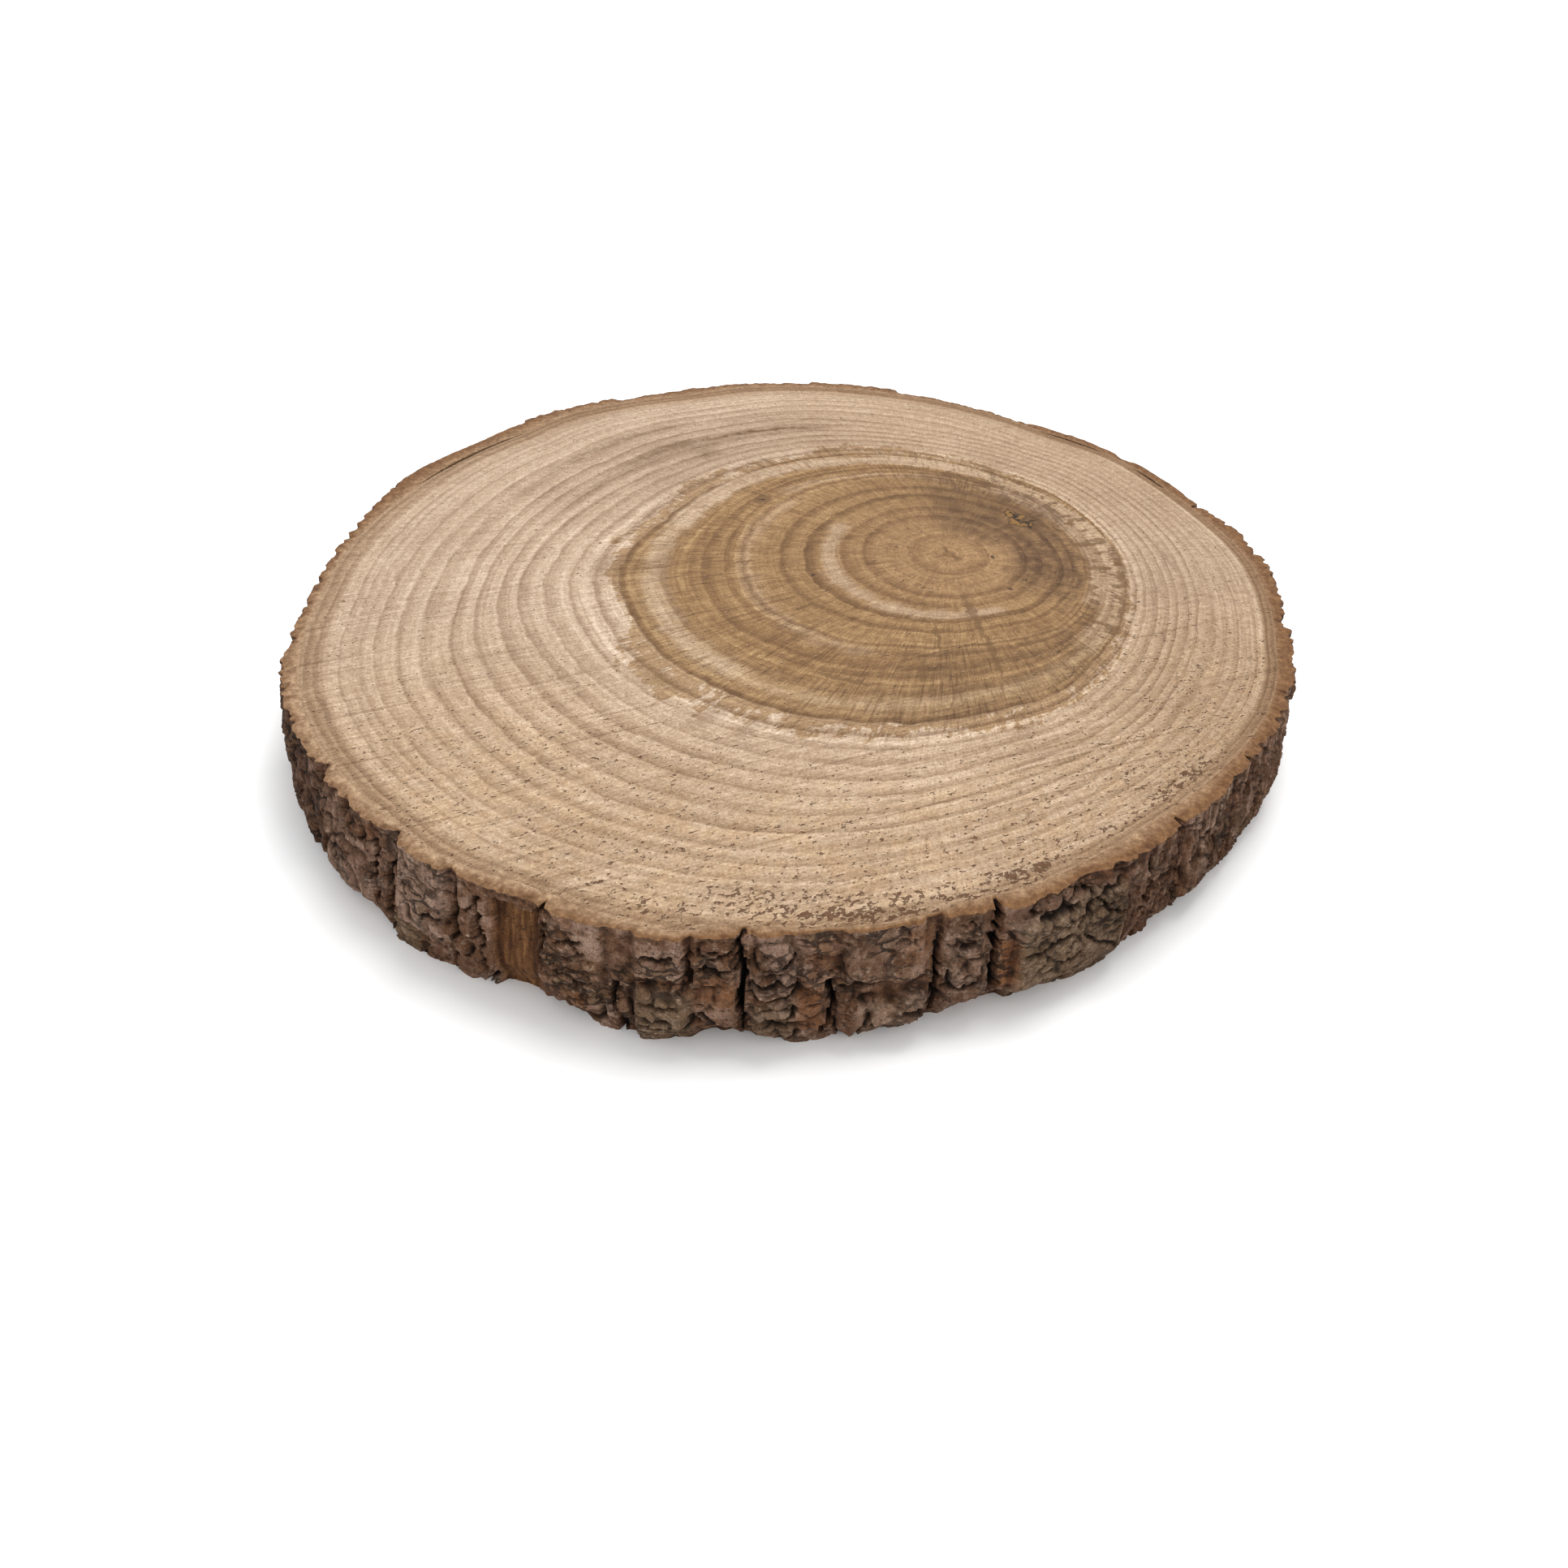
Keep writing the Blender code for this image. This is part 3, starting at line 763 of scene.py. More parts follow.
def woodMaterial():
    material, shader = newMaterial("sawnWood")
    uv = addNode("UVMap", uv_map="growth").outputs["UV"]
    parts = addNode("SeparateXYZ", {0: uv}).outputs
    angle, growth = times(parts[0], math.tau), times(parts[1], mapReach)
    polar = polarFrom(angle, growth)
    here = addNode("TexCoord").outputs["Object"]
    turned = mapped(here, rotation=(0, 0, -math.radians(wood["sawTurn"])))
    fibre = cloud(here, 1800, 3, 0.65)

    # the rings waver, but not close to the pith
    wave = noiseOf(polar(5, 9), 2)
    lifted = scaled(noiseOf(polar(1.1, 3), 2), 0.5, -0.25)
    lifted = plus(scaled(wave, 2.2, -1.1), lifted)
    aged = scaled(lifted, spread(growth, 2, 14), growth)
    strength = spread(noiseOf(polar(9, 14), 2), 0.3, 0.7, 0.6, 1.3, "LINEAR")
    strength = times(strength, scaled(attribute("clear"), -0.7, 1))
    level = times(ringLevel(aged), strength)

    colour, inner, blots = heartwood(polar, aged)
    tone = scaled(level, woodTones["rings"], woodTone(polar, aged, inner, blots, fibre, here))
    marks, scratch, sawn = sawMarks(here, turned)
    tone = plus(tone, times(scaled(marks, woodTones["marks"], -woodTones["marks"] / 2), sawn))
    tone = minus(tone, times(scratch, woodTones["scratch"]))
    colour = shaded(colour, tone)

    # stains soak along the rays
    soak = spread(noiseOf(polar(1.6, 2), 3, 0.6), 0.25, 0.6, 0.55, 1.15)
    stain = times(attribute("stain"), soak, clamp=True)
    colour = markedWood(mixed(stain, colour, woodPaint["stain"]), here)

    # the three arms of the crack at the pith
    arms = cosine(scaled(wave, 3.0, scaled(angle, 3.0, 0.6)))
    arms = times(spread(arms, 0.6, 0.95), spread(growth, 5.0, 2.5))
    colour = mixed(times(arms, 0.8), colour, woodPaint["stain"])

    colour, speck = tornWood(colour, turned)
    relief = scaled(fibre, 0.3, times(times(marks, sawn), 0.3))
    for value, amount in ((level, -0.05), (speck, -0.4), (scratch, -0.08)):
        relief = scaled(value, amount, relief)
    finished(shader, colour, spread(fibre, 0.3, 0.7, 0.7, 0.88, "LINEAR"), 0.3, relief)
    return material


# the bark; plates parted by fissures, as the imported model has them, with finer relief
bark = {
    "plateWidth": 11,
    "plateStretch": 1.35,
    "plateBed": 0.8,
    "plateStep": 1.5,
    "crackDepth": 1.3,
    "crackShare": 0.16,
    "flakeSize": (5.4, 5.4, 3.4),
    "levelSpread": 5.1,
    "bend": 0.22,
    "bendLength": 9,
    "roughness": 0.6,
    "coarseGrain": 4.5,
    "fineGrain": 2,
    "wander": 0.5,
    "wanderLength": 6,
    "fissureFloor": 0.45,
    "fissureLip": 1.25,
    "fissureBed": 0.4,
    "fissureReach": 6,
    "closing": 0.65,  # how far a fissure closes at the rim, and where it is open there
    "closingNotched": 0.3,
    "crackCut": 1.15,
    "smallCut": 0.5,
    "terrace": 0.18,
    "grit": 0.14,
    "evenness": 0.5,  # of the plates that aren't listed
    "narrow": 0.42,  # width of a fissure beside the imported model's
    "jag": 0.6,  # sideways jumps of a fissure, in degrees
    "jagLength": 1.3,
    "wallRadius": 118,
    # fissures that are open at the rim, by the bearing of their foot
    "notched": (238.6, 256.7, 278.4, 302, 315.2, 329.8, 13.2, 151.2, 211.6, 222.4),
    # tone of the outside, every 15 degrees from bearing 0
    "shades": (-0.05, -0.05, -0.05, 0, 0, 0, 0, 0, 0, 0, 0, -0.05)
    + (-0.25, -0.7, -0.6, -0.05, 0, -0.1, -0.1, -0.3, -0.55, -0.65, -0.3, -0.05),
    # how far the rim's splinters are broken back in mm, every 30 degrees
    "splinters": (1.5, 1.3, 0.9, 0.7, 1.1, 1.5, 1.6, 1.3, 0.6, 0.5, 1, 1.6),
    # how pale the sawn bark is, every 30 degrees from bearing 0
    "faceTones": (0.1, 0.1, 0.35, 0.4, 0.45, 0.3, 0.6, 0.8, 0.6, 0.35, 0.3, 0),
    "plateEdge": 0.35,
    "breakHeight": 7,
    "leanHeight": 9,
    "strands": (294, 20),  # the bark between these bearings is more stringy than flaky
    "guardDepth": 2.5,
    "guardMargin": 4,
    # bearing at the foot, bearing at the top, lower and upper end, width, depth
    "fissures": (
        (3, 2.6, -2, 27, 4.6, 3.4), (13.2, 12.9, -2, 27, 4.8, 4.6), (18.5, 18.7, 3, 27, 3.2, 4),
        (30, 29.4, -2, 17, 2.6, 3), (43.8, 43.2, -2, 27, 8, 2.6), (50.5, 51.2, -2, 15, 2.6, 3),
        (60, 59.5, 6, 27, 2.8, 2.6), (64.2, 65.2, -2, 27, 4, 3.2), (73, 72.4, -2, 18, 2.6, 3.6),
        (82.6, 82.3, -2, 27, 9, 3.2), (93.5, 93, -2, 27, 3, 2.2), (103, 102.6, -2, 27, 6, 2.6),
        (109.2, 109.8, 2, 27, 3, 2.8), (119, 119.2, -2, 27, 2.8, 2.8),
        (128.6, 128.8, -2, 27, 9, 2.8), (136.6, 136.8, -2, 27, 3.4, 2.8),
        (144.2, 144.8, -2, 16, 2.8, 3), (151.2, 151.5, -2, 27, 4.4, 4.2),
        (156.8, 156.5, -2, 27, 3.2, 3.2), (162.6, 162.4, -2, 27, 2.4, 2.8),
        (168.4, 168.2, 4, 27, 3.2, 2.4), (174.2, 173.6, -2, 27, 5, 2.8),
        (184.6, 185.8, -2, 21, 2.8, 3.4), (195.2, 195.4, -2, 27, 4.6, 3.2),
        (205.5, 204.5, 2, 13, 5, 4.5), (211.6, 211, -2, 27, 2.8, 3.2),
        (220.3, 220.9, 4, 21, 2.4, 4), (222.4, 223.3, -2, 27, 3, 5),
        (230.2, 230.8, -2, 18, 2.4, 3.5), (233.6, 233, -2, 22, 2.8, 4),
        (238.6, 239.2, 11, 27, 2.4, 4), (246.2, 245.6, -2, 13, 3.8, 3.4),
        (251.9, 252, 15, 27, 2.4, 3), (256.7, 256.2, -2, 27, 3.2, 5.5),
        (263.3, 264.6, 1, 15, 2.8, 4.5), (273, 273.3, 1, 27, 2.6, 4.2),
        (278.4, 278.8, 2, 27, 3.6, 5.6), (293.6, 294.2, -2, 14, 2.4, 3.5),
        (296.8, 297, -2, 27, 3, 4), (302, 301.6, 1, 27, 2.8, 4.5), (308, 307.4, -2, 16, 2.4, 3),
        (315.2, 315.6, -2, 27, 3.4, 4.2), (319.8, 319.6, -2, 27, 3, 2.8),
        (329.8, 329.6, -2, 27, 3.4, 4.4), (337.2, 336.4, -2, 15, 2.4, 3),
        (344.4, 344.2, -2, 27, 3.4, 2.8), (352, 351.2, -2, 19, 2.6, 3.2),
    ),
    # scales with a dark outline, a painted shadow darkest below each: bearing and height of the
    # middle, half width in degrees, half height in mm, rise
    "scales": (
        (254.2, 22.3, 1.3, 1.7, 0.5), (254.7, 19, 1.2, 1.2, 0.4), (259, 20.8, 1.5, 2.6, 0.5),
        (259.1, 15.2, 1.7, 2.1, 0.6), (258.9, 9.8, 1.8, 2.4, 0.6), (259.2, 4, 1.8, 2.8, 0.7),
        (249.9, 9.2, 2.5, 4.8, 0.7), (249.6, 3, 2.6, 1.5, 0.5), (265.6, 6.6, 1.2, 6.4, 0.6),
        (269.6, 5.6, 2.6, 4.4, 0.7), (284.6, 22.8, 2.4, 1.5, 0.4), (214.8, 6, 3.2, 5.2, 0.5),
        (218, 21.6, 1.4, 2.4, 0.5), (231.6, 20.5, 0.9, 2.6, 0.6), (232.2, 14.5, 1, 2.4, 0.8),
        (231.4, 9, 0.9, 2.2, 0.7), (242.8, 5.5, 2, 4.6, 0.3), (275.8, 14, 1.5, 4, 0.3),
        (305, 8, 2.2, 5, 0.4), (311.6, 16, 2, 4.4, 0.5), (200.5, 17, 2.6, 4, 0.5),
        (207.6, 8, 2, 5, 0.6),
    ),
    # plates that stand proud: first and last bearing, lower and upper edge, rise
    "raised": (
        (4.6, 11.9, -2, 27, 0.5), (33.4, 38.3, -2, 27, 1.2), (66.3, 79.8, -2, 27, 2.4),
        (110.8, 126, -2, 27, 1.2), (138.4, 150.2, -2, 27, 0.6), (191.2, 194, -2, 27, 1),
        (212.2, 220.2, -2, 27, 0.6), (223.9, 229.6, 7, 27, 0.9), (240.2, 244.8, 6, 27, 0.6),
        (247.5, 251.6, 15.5, 27, 0.9), (247.8, 252.6, -2, 14.5, 1.2), (257.4, 261, 11, 27, 0.8),
        (264.9, 272, 14, 27, 0.9), (265.5, 272.2, -2, 10.5, 1.2), (273.9, 277.6, -2, 27, 0.8),
        (280.6, 293.2, -2, 21, 1.4), (303.2, 310, -2, 27, 0.4), (320.6, 328.6, -2, 27, 0.6),
        (330.8, 343.4, -2, 27, 0.6),
    ),
    "window": (234.3, 238.8, -2, 22, 2.6),
    # how far the foot is broken back, as bearing and depth
    "broken": (
        ((0, 1), (24, 2.4), (52, 0.8), (88, 2.6), (120, 1), (146, 2.2), (171, 0.8))
        + ((196, 0.2), (212, 1.2), (219, 2.6), (223, 0.3), (231, 1), (240, 2.9), (246, 0.8))
        + ((255, 4.2), (262, 1.8), (270, 3.2), (277, 4.8), (283, 4.2), (290, 2.6), (300, 1.6))
        + ((306, 2.8), (318, 1.2), (336, 1.6), (360, 1))
    ),
    # how far the top edge lies behind the rest, as bearing and depth
    "lean": (
        ((0, 0.2), (150, 0), (186, 0.6), (198, 1), (210, 1.8), (222, 1.8), (234, 1.4))
        + ((246, 1.4), (252, 2.2), (258, 3.8), (264, 3.6), (276, 3.3), (281, 0.8), (284, 0.8))
        + ((288, 2.8), (293, 0.2), (300, 0.2), (306, 1), (324, 0.9), (360, 0.2))
    ),
    # cracks across the plates: bearing and height at each end, width, depth
    "cracks": (
        (227, 12.2, 229.3, 12.9, 0.6, 0.9), (225.7, 13.2, 226, 9.6, 0.6, 0.9),
        (229.2, 8.6, 229.4, 4.6, 0.6, 1), (224.4, 17.5, 225.3, 15.2, 0.5, 0.7),
        (247.7, 5, 252.2, 5.5, 0.7, 1), (247.7, 7.6, 251, 7.2, 0.5, 0.7),
        (248.4, 10.6, 251.6, 10.9, 0.5, 0.6), (248, 19.6, 250.9, 20.3, 0.6, 0.8),
        (253.2, 9.2, 255.4, 3.8, 0.8, 1.3), (253, 18.4, 255.6, 17.6, 0.8, 1.2),
        (253.6, 21.6, 255.4, 21.2, 0.5, 0.8), (257.4, 15.7, 261, 15.1, 0.8, 1.2),
        (257.3, 10.9, 260.8, 10.5, 0.7, 1.1), (257.8, 5.6, 260.4, 6.3, 0.6, 0.9),
        (264.7, 14.4, 268.2, 13.9, 0.8, 1.4), (270.4, 7.6, 272.2, 6.6, 1.1, 1.3),
        (266.9, 9.2, 267.8, 3.2, 0.5, 0.8), (274.2, 18.2, 277.4, 17.4, 0.5, 0.8),
        (274, 9.8, 277, 10.4, 0.5, 0.7), (281.4, 13.8, 286.2, 14.8, 0.7, 1.2),
        (283, 20.7, 287.2, 20.2, 0.8, 1.3), (285.4, 9.3, 287.6, 9.8, 0.5, 0.8),
        (288, 13.2, 293.2, 4.8, 0.5, 0.9), (287.2, 15.8, 289.5, 20, 0.6, 1),
        (289.5, 20, 292.2, 21.4, 0.6, 1), (288, 22.6, 289.5, 20, 0.5, 0.8),
        (289.5, 20, 290.9, 16.4, 0.6, 1), (290.9, 16.4, 292.7, 14.7, 0.6, 0.9),
        (298.4, 12, 301, 14.6, 0.6, 0.9), (304, 16, 308.4, 17.6, 0.5, 0.8),
        (310.2, 9, 313.8, 12, 0.6, 0.9), (212.4, 11, 216.8, 12.4, 0.7, 1.1),
        (214.6, 12, 215.4, 5.6, 0.5, 0.8), (208.4, 16.6, 210.6, 17.4, 0.7, 1),
        (200.2, 10, 203.4, 11.6, 0.7, 1), (241, 12.4, 244, 11.2, 0.5, 0.7),
        (240.6, 18.6, 243.2, 19.6, 0.5, 0.7),
    ),
    # bare orange patches: first and last bearing, lower and upper edge, strength
    "fresh": (
        (242, 243.8, 2.5, 8.5, 0.9), (240.4, 242.2, 19, 24.5, 0.5), (252.8, 256, 10.8, 16.2, 0.8),
        (261.1, 263.2, 4.5, 15, 0.9), (262, 264.6, 15, 24, 0.55), (270.4, 272.6, 17, 24, 0.55),
        (279.1, 280.9, 6.5, 17.5, 1), (286.5, 291.5, 22.5, 25.5, 0.6),
        (219, 220.6, 20.5, 24.5, 0.8), (216.4, 218.8, 19.5, 24.5, 0.5), (234.6, 238.6, -1, 9, 0.45),
        (247.2, 252.4, 13.6, 16.2, 0.45), (302, 303.6, 4, 20, 0.5), (328.6, 330.4, 3, 25, 0.6),
        (12, 14.2, 0, 25, 0.5), (150.2, 152.4, 0, 25, 0.5), (82, 84, 0, 25, 0.5),
    ),
    # even plates: first and last bearing, lower and upper edge, evenness, greyness, moss
    "calm": (
        (280.8, 293, -1, 21, 0.9, 0.5, 0.8), (223.9, 229.6, 7, 27, 0.85, 1, 0),
        (222.6, 226, -1, 7, 0.5, 0.3, 0.8), (240.6, 245, 9, 27, 0.85, 0.1, 0.1),
        (247.6, 251.6, 15.5, 27, 0.9, 0.8, 0), (247.8, 252.4, -1, 14, 0.7, 0.3, 0.7),
        (252.4, 255.8, 8, 17, 0.7, 0.2, 0), (257.4, 261, -1, 12, 0.2, 0.3, 0.6),
        (261, 263.6, -1, 27, 0.8, 0, 0), (265.4, 272, 14, 27, 0.9, 0.5, 0.1),
        (266, 272.2, -1, 10.5, 0.6, 0.6, 0.3), (273.9, 277.8, -1, 27, 0.7, 0.5, 0.1),
        (234, 238.8, -1, 22, 0.95, 0, 0), (213, 219.8, 0, 12, 0.6, 0.8, 0),
        (303.2, 310, -1, 27, 0.6, 0.4, 0.2), (66.5, 79, -1, 27, 0.5, 0.5, 0.3),
        (111, 125, -1, 27, 0.5, 0.5, 0.2),
    ),
    "wallRows": 60,
    "faceRows": 8,
    "footRows": 3,
    "innerRows": 3,
}


def slitGuard(bearing):
    guard = np.ones(np.shape(bearing))
    for first, last, *_ in slits:
        before = smooth(first - bark["guardMargin"], first, bearing)
        after = smooth(last, last + bark["guardMargin"], bearing)
        guard = np.minimum(guard, 1 - before * (1 - after))
    return guard


def plateRelief(spots):
    # depth of the plates, and the tone of each plate
    width, stretch = bark["plateWidth"], bark["plateStretch"]
    depth, tone = [], []
    for x, y, z in spots.reshape(-1, 3).tolist():
        bend = noise.noise_vector(Vector((x, y, z)) / bark["bendLength"]) * bark["bend"]
        near, centres = noise.voronoi(Vector((x, y, z / stretch)) / width + bend)
        level = noise.noise(centres[0] * bark["levelSpread"])
        share = min(max((near[1] - near[0]) / bark["crackShare"], 0), 1)
        crack = 1 - share * share * (3 - 2 * share)
        bed = bark["plateBed"] + bark["plateStep"] * (0.5 + 0.5 * level)
        depth.append(bed + bark["crackDepth"] * crack)
        tone.append(level)
    return (np.array(found).reshape(spots.shape[:-1]) for found in (depth, tone))


def boxMask(bearing, height, rows, edge, soft=1.0):
    # the highest of some soft boxes on the wall
    found = np.zeros(np.broadcast(bearing, height).shape)
    for first, last, lowEnd, highEnd, strength in rows:
        across = between(bearing, first, last, edge)
        found = np.maximum(found, across * between(height, lowEnd, highEnd, soft) * strength)
    return found


def crackMask(bearing, height, radius):
    found = np.zeros(bearing.shape)
    for b0, z0, b1, z1, width, depth in bark["cracks"]:
        near = np.abs(turn(bearing[0], (b0 + b1) / 2)) < abs(b1 - b0) / 2 + 1.5
        x = np.radians(turn(bearing[:, near], b0)) * radius[:, near]
        z = height[:, near] - z0
        dx, dz = math.radians(b1 - b0) * bark["wallRadius"], z1 - z0
        along = np.clip((x * dx + z * dz) / (dx * dx + dz * dz), 0, 1)
        wobble = 0.28 * np.sin(along * 9 + b0) + 0.15 * np.sin(along * 23 + z0)
        away = np.hypot(x - along * dx, z - along * dz + wobble)
        taper = 0.45 + 0.55 * np.sin(np.pi * np.clip(along * 0.8 + 0.1, 0, 1))
        line = (1 - smooth(0.35 * width, 1.05 * width, away / taper)) * depth
        found[:, near] = np.maximum(found[:, near], line)
    return found


def scaleRelief(bearing, height, uneven):
    # how far the scales stand out, and the groove and dark line round each, strongest below the scale as a
    # painted shadow
    lift, rim = np.zeros(bearing.shape), np.zeros(bearing.shape)
    for middle, level, wide, tall, rise in bark["scales"]:
        x, z = np.abs(turn(bearing, middle)) / wide, np.abs(height - level) / tall
        away = (x**2.6 + z**2.6) ** (1 / 2.6) + 0.16 * uneven
        lift = np.maximum(lift, (1 - smooth(0.8, 1.0, away)) * rise)
        # darker below the scale's middle: a painted shadow under its edge
        line = between(away, 0.98, 1.14, 0.05) * (0.65 + 0.35 * np.sign(level - height))
        rim = np.maximum(rim * (away > 0.9), line)
    return lift, rim


def stepped(rows, bearing):
    # a value at each bearing, eased between the listed ones
    marks, values = (np.array(part) for part in zip(*rows))
    place = np.clip(np.searchsorted(marks, bearing, side="right") - 1, 0, len(marks) - 2)
    share = smooth(marks[place], marks[place + 1], bearing)
    return values[place] + (values[place + 1] - values[place]) * share


def fissureDepth(bearing, height, radius):
    # each fissure wanders and jumps aside a little, and closes towards the rim
    found = np.zeros(radius.shape)
    for foot, top, lowEnd, highEnd, width, depth in bark["fissures"]:
        near = np.abs(turn(bearing[0], foot)) <= bark["fissureReach"]
        sway, jag = (
            np.array([noise.noise(Vector((foot, seed, z / length))) for z in height[:, 0]])[:, None]
            for seed, length in ((0, bark["wanderLength"]), (5, bark["jagLength"]))
        )
        middle = foot + (top - foot) * height[:, :1] / thickness
        middle = middle + sway * bark["wander"] + jag * bark["jag"]
        across = np.abs(np.radians(turn(bearing[:, near], middle))) * radius[:, near]
        half = width / 2 * bark["narrow"] * (1 + 0.7 * jag[::-1])
        side = 1 - smooth(bark["fissureFloor"] * half, bark["fissureLip"] * half, across)
        share = side * between(height[:, near], lowEnd, highEnd, 1)
        closing = bark["closingNotched"] if foot in bark["notched"] else bark["closing"]
        share = share * (1 - closing * smooth(19, 24, height[:, near]))
        found[:, near] = np.maximum(found[:, near], depth * share)
    return found


def flakeRelief(spots, layer):
    # flakes of uneven thickness, each leaning out at its foot, and how near an edge is
    size = Vector(bark["flakeSize"])
    cells, flakes = [], []
    for x, y, z, lift in np.concatenate([spots, layer[..., None]], -1).reshape(-1, 4).tolist():
        sway = 0.3 * lift
        near, centres = noise.voronoi(Vector((x / size.x + sway, y / size.y + sway, z / size.z)))
        cells.append(near[1] - near[0])
        flakes.append(noise.noise(centres[0] * 7.7) * 0.6 + 0.07 * (centres[0].z * size.z - z))
    return (np.array(held).reshape(layer.shape) for held in (cells, flakes))


def brokenEdges(bearing, height, spots):
    # how far the foot and the top edge are set back; the rim is splintered, most of all at
    # the left and from the right round to the back
    setBack = stepped(bark["broken"], bearing) * (1 - smooth(0, bark["breakHeight"], height))
    setBack = setBack + stepped(bark["lean"], bearing) * smooth(bark["leanHeight"], thickness, height)
    splinter = grain(spots / (1.7, 1.7, 8), 31) + 0.8 * grain(spots / (4.5, 4.5, 10), 33)
    splinter = np.clip(splinter + 0.1, 0, 1) * closedCurve(bark["splinters"], bearing)
    return setBack + splinter * smooth(15, 23.5, height)


def wallShape(bearing, height):
    # radius of the bark's face at each bearing and height, and the masks for its colours
    radius = closedCurve(outline, bearing)
    angle = np.radians(bearing)
    spots = np.stack([radius * np.cos(angle), radius * np.sin(angle), height], -1)
    plates, tone = plateRelief(spots)
    window = boxMask(bearing, height, [bark["window"]], bark["plateEdge"])
    calm, greyPart, mossPart = (
        boxMask(bearing, height, [(*row[:4], row[k]) for row in bark["calm"]], 0.5) for k in (4, 5, 6)
    )
    even = np.maximum(calm, bark["evenness"])
    plates = plates + (bark["plateBed"] + 0.5 * bark["plateStep"] - plates) * even
    bed = plates + window - boxMask(bearing, height, bark["raised"], bark["plateEdge"])
    fissure = fissureDepth(bearing, height, radius)
    depth = np.maximum(bed, fissure + bark["fissureBed"] * bed)
    rough = (1 + 0.7 * grain(spots / bark["coarseGrain"]) + 0.3 * grain(spots / bark["fineGrain"])) / 2
    flat = 1 - 0.7 * calm
    depth = depth + bark["roughness"] * rough * flat

    # finer relief: flakes in steps, small cracks, upright fibres and grit
    layer = grain(spots / (5.5, 5.5, 4.2), 3) + 0.5 * grain(spots / (2.2, 2.2, 1.7), 9)
    terrace = np.floor(layer * 3.2) + smooth(0.8, 1.0, layer * 3.2 % 1)
    fibres = grain(spots / (0.9, 0.9, 7), 5)
    grit = grain(spots / 0.95, 2)
    cells, flakes = flakeRelief(spots, layer)
    patch = grain(spots / 9, 13)
    small = (1 - smooth(0.02, 0.11, cells)) * smooth(-0.3, 0.2, patch)
    lift, rim = scaleRelief(bearing, height, layer)
    cracks = np.maximum(crackMask(bearing, height, radius), rim)
    smoothPart = window / bark["window"][4]
    clear = 1 - smoothPart
    strand = sector(bearing, *bark["strands"], 6)
    fine = bark["crackCut"] * cracks - lift
    fine = fine + clear * (bark["smallCut"] * small - bark["terrace"] * terrace * flat)
    fine = fine + bark["grit"] * grit * (0.4 + 0.6 * clear)
    fine = fine - flakes * clear * flat * (0.2 + 0.7 * smooth(-0.2, 0.35, patch)) * (1 - 0.6 * strand)
    fine = fine + fibres * (0.14 + 0.5 * strand + 0.2 * smooth(2.5, 4, depth))
    setBack = brokenEdges(bearing, height, spots)
    depth = depth + fine * (1 - 0.5 * smooth(22.5, 25, height)) + setBack
    shallow = bark["guardDepth"] * depth / (bark["guardDepth"] + np.abs(depth))
    depth = shallow + (depth - shallow) * slitGuard(bearing)
    depth = np.maximum(depth, -0.4)
    masks = {
        "sunk": depth - setBack,
        # painted shade in the hollows and painted highlight where the wall stands out
        "hollowShading": hollows(depth - setBack),
        "shade": closedCurve(bark["shades"], bearing),
        "tone": tone,
        # dark lines of painted shade in the cracks and round the scales
        "small": np.maximum(small * clear * 0.8, np.minimum(cracks * 1.3, 1)),
        "bare": boxMask(bearing, height, bark["fresh"], 0.5, 1.2),
        "smoothPart": smoothPart,
        "greyPart": greyPart,
        "mossPart": mossPart,
        "strand": strand,
    }
    return radius - depth, masks


def hollows(depth):
    # how far each spot of the wall lies behind what is round it, for painted shade in the hollows and a
    # painted highlight where it stands out
    beside = sum(np.roll(depth, k, 1) for k in range(-3, 4)) / 7
    padded = np.pad(beside, ((4, 4), (0, 0)), "edge")
    return depth - sum(padded[k : k + len(depth)] for k in range(9)) / 9


def barkSection():
    # the ring's section from the wood across the sawn face, down the wall and back up; each row
    # has its radius, height, share of the way across the bark and row of the wall
    line = np.arange(columns) * 360 / columns
    height = np.linspace(thickness, 0, bark["wallRows"] + 1)
    inner = rimLine(line)

    def slitSide(level):
        middle, half = slitHalf(line, np.full(columns, level))
        return np.where(half > 0, np.maximum(inner, middle + half), inner)

    innerTop = slitSide(thickness)
    section = []
    for step in range(bark["faceRows"]):
        share = step / bark["faceRows"]
        radius = innerTop + (wall[0] - innerTop) * share
        rough = 0.12 + 0.12 * grain(np.stack([line * 2.0, radius * 1.2, radius * 0], -1) / 1.6, 4)
        sink = rough * smooth(0, 0.3, np.array(share)) + 0.25 * smooth(0.6, 1, np.array(share))
        section.append((radius, thickness - sink, share, 0))
    for step in range(bark["wallRows"] + 1):
        section.append((wall[step], height[step] - (0.35 if step == 0 else 0), 1, step))
    for step in range(1, bark["footRows"]):
        share = step / bark["footRows"]
        section.append((wall[-1] + (inner - wall[-1]) * share, 0, 1 - share, -1))
    for step in range(bark["innerRows"]):
        level = thickness * step / bark["innerRows"]
        section.append((slitSide(level), level, 0, 0))
    section.append(section[0])
    return section


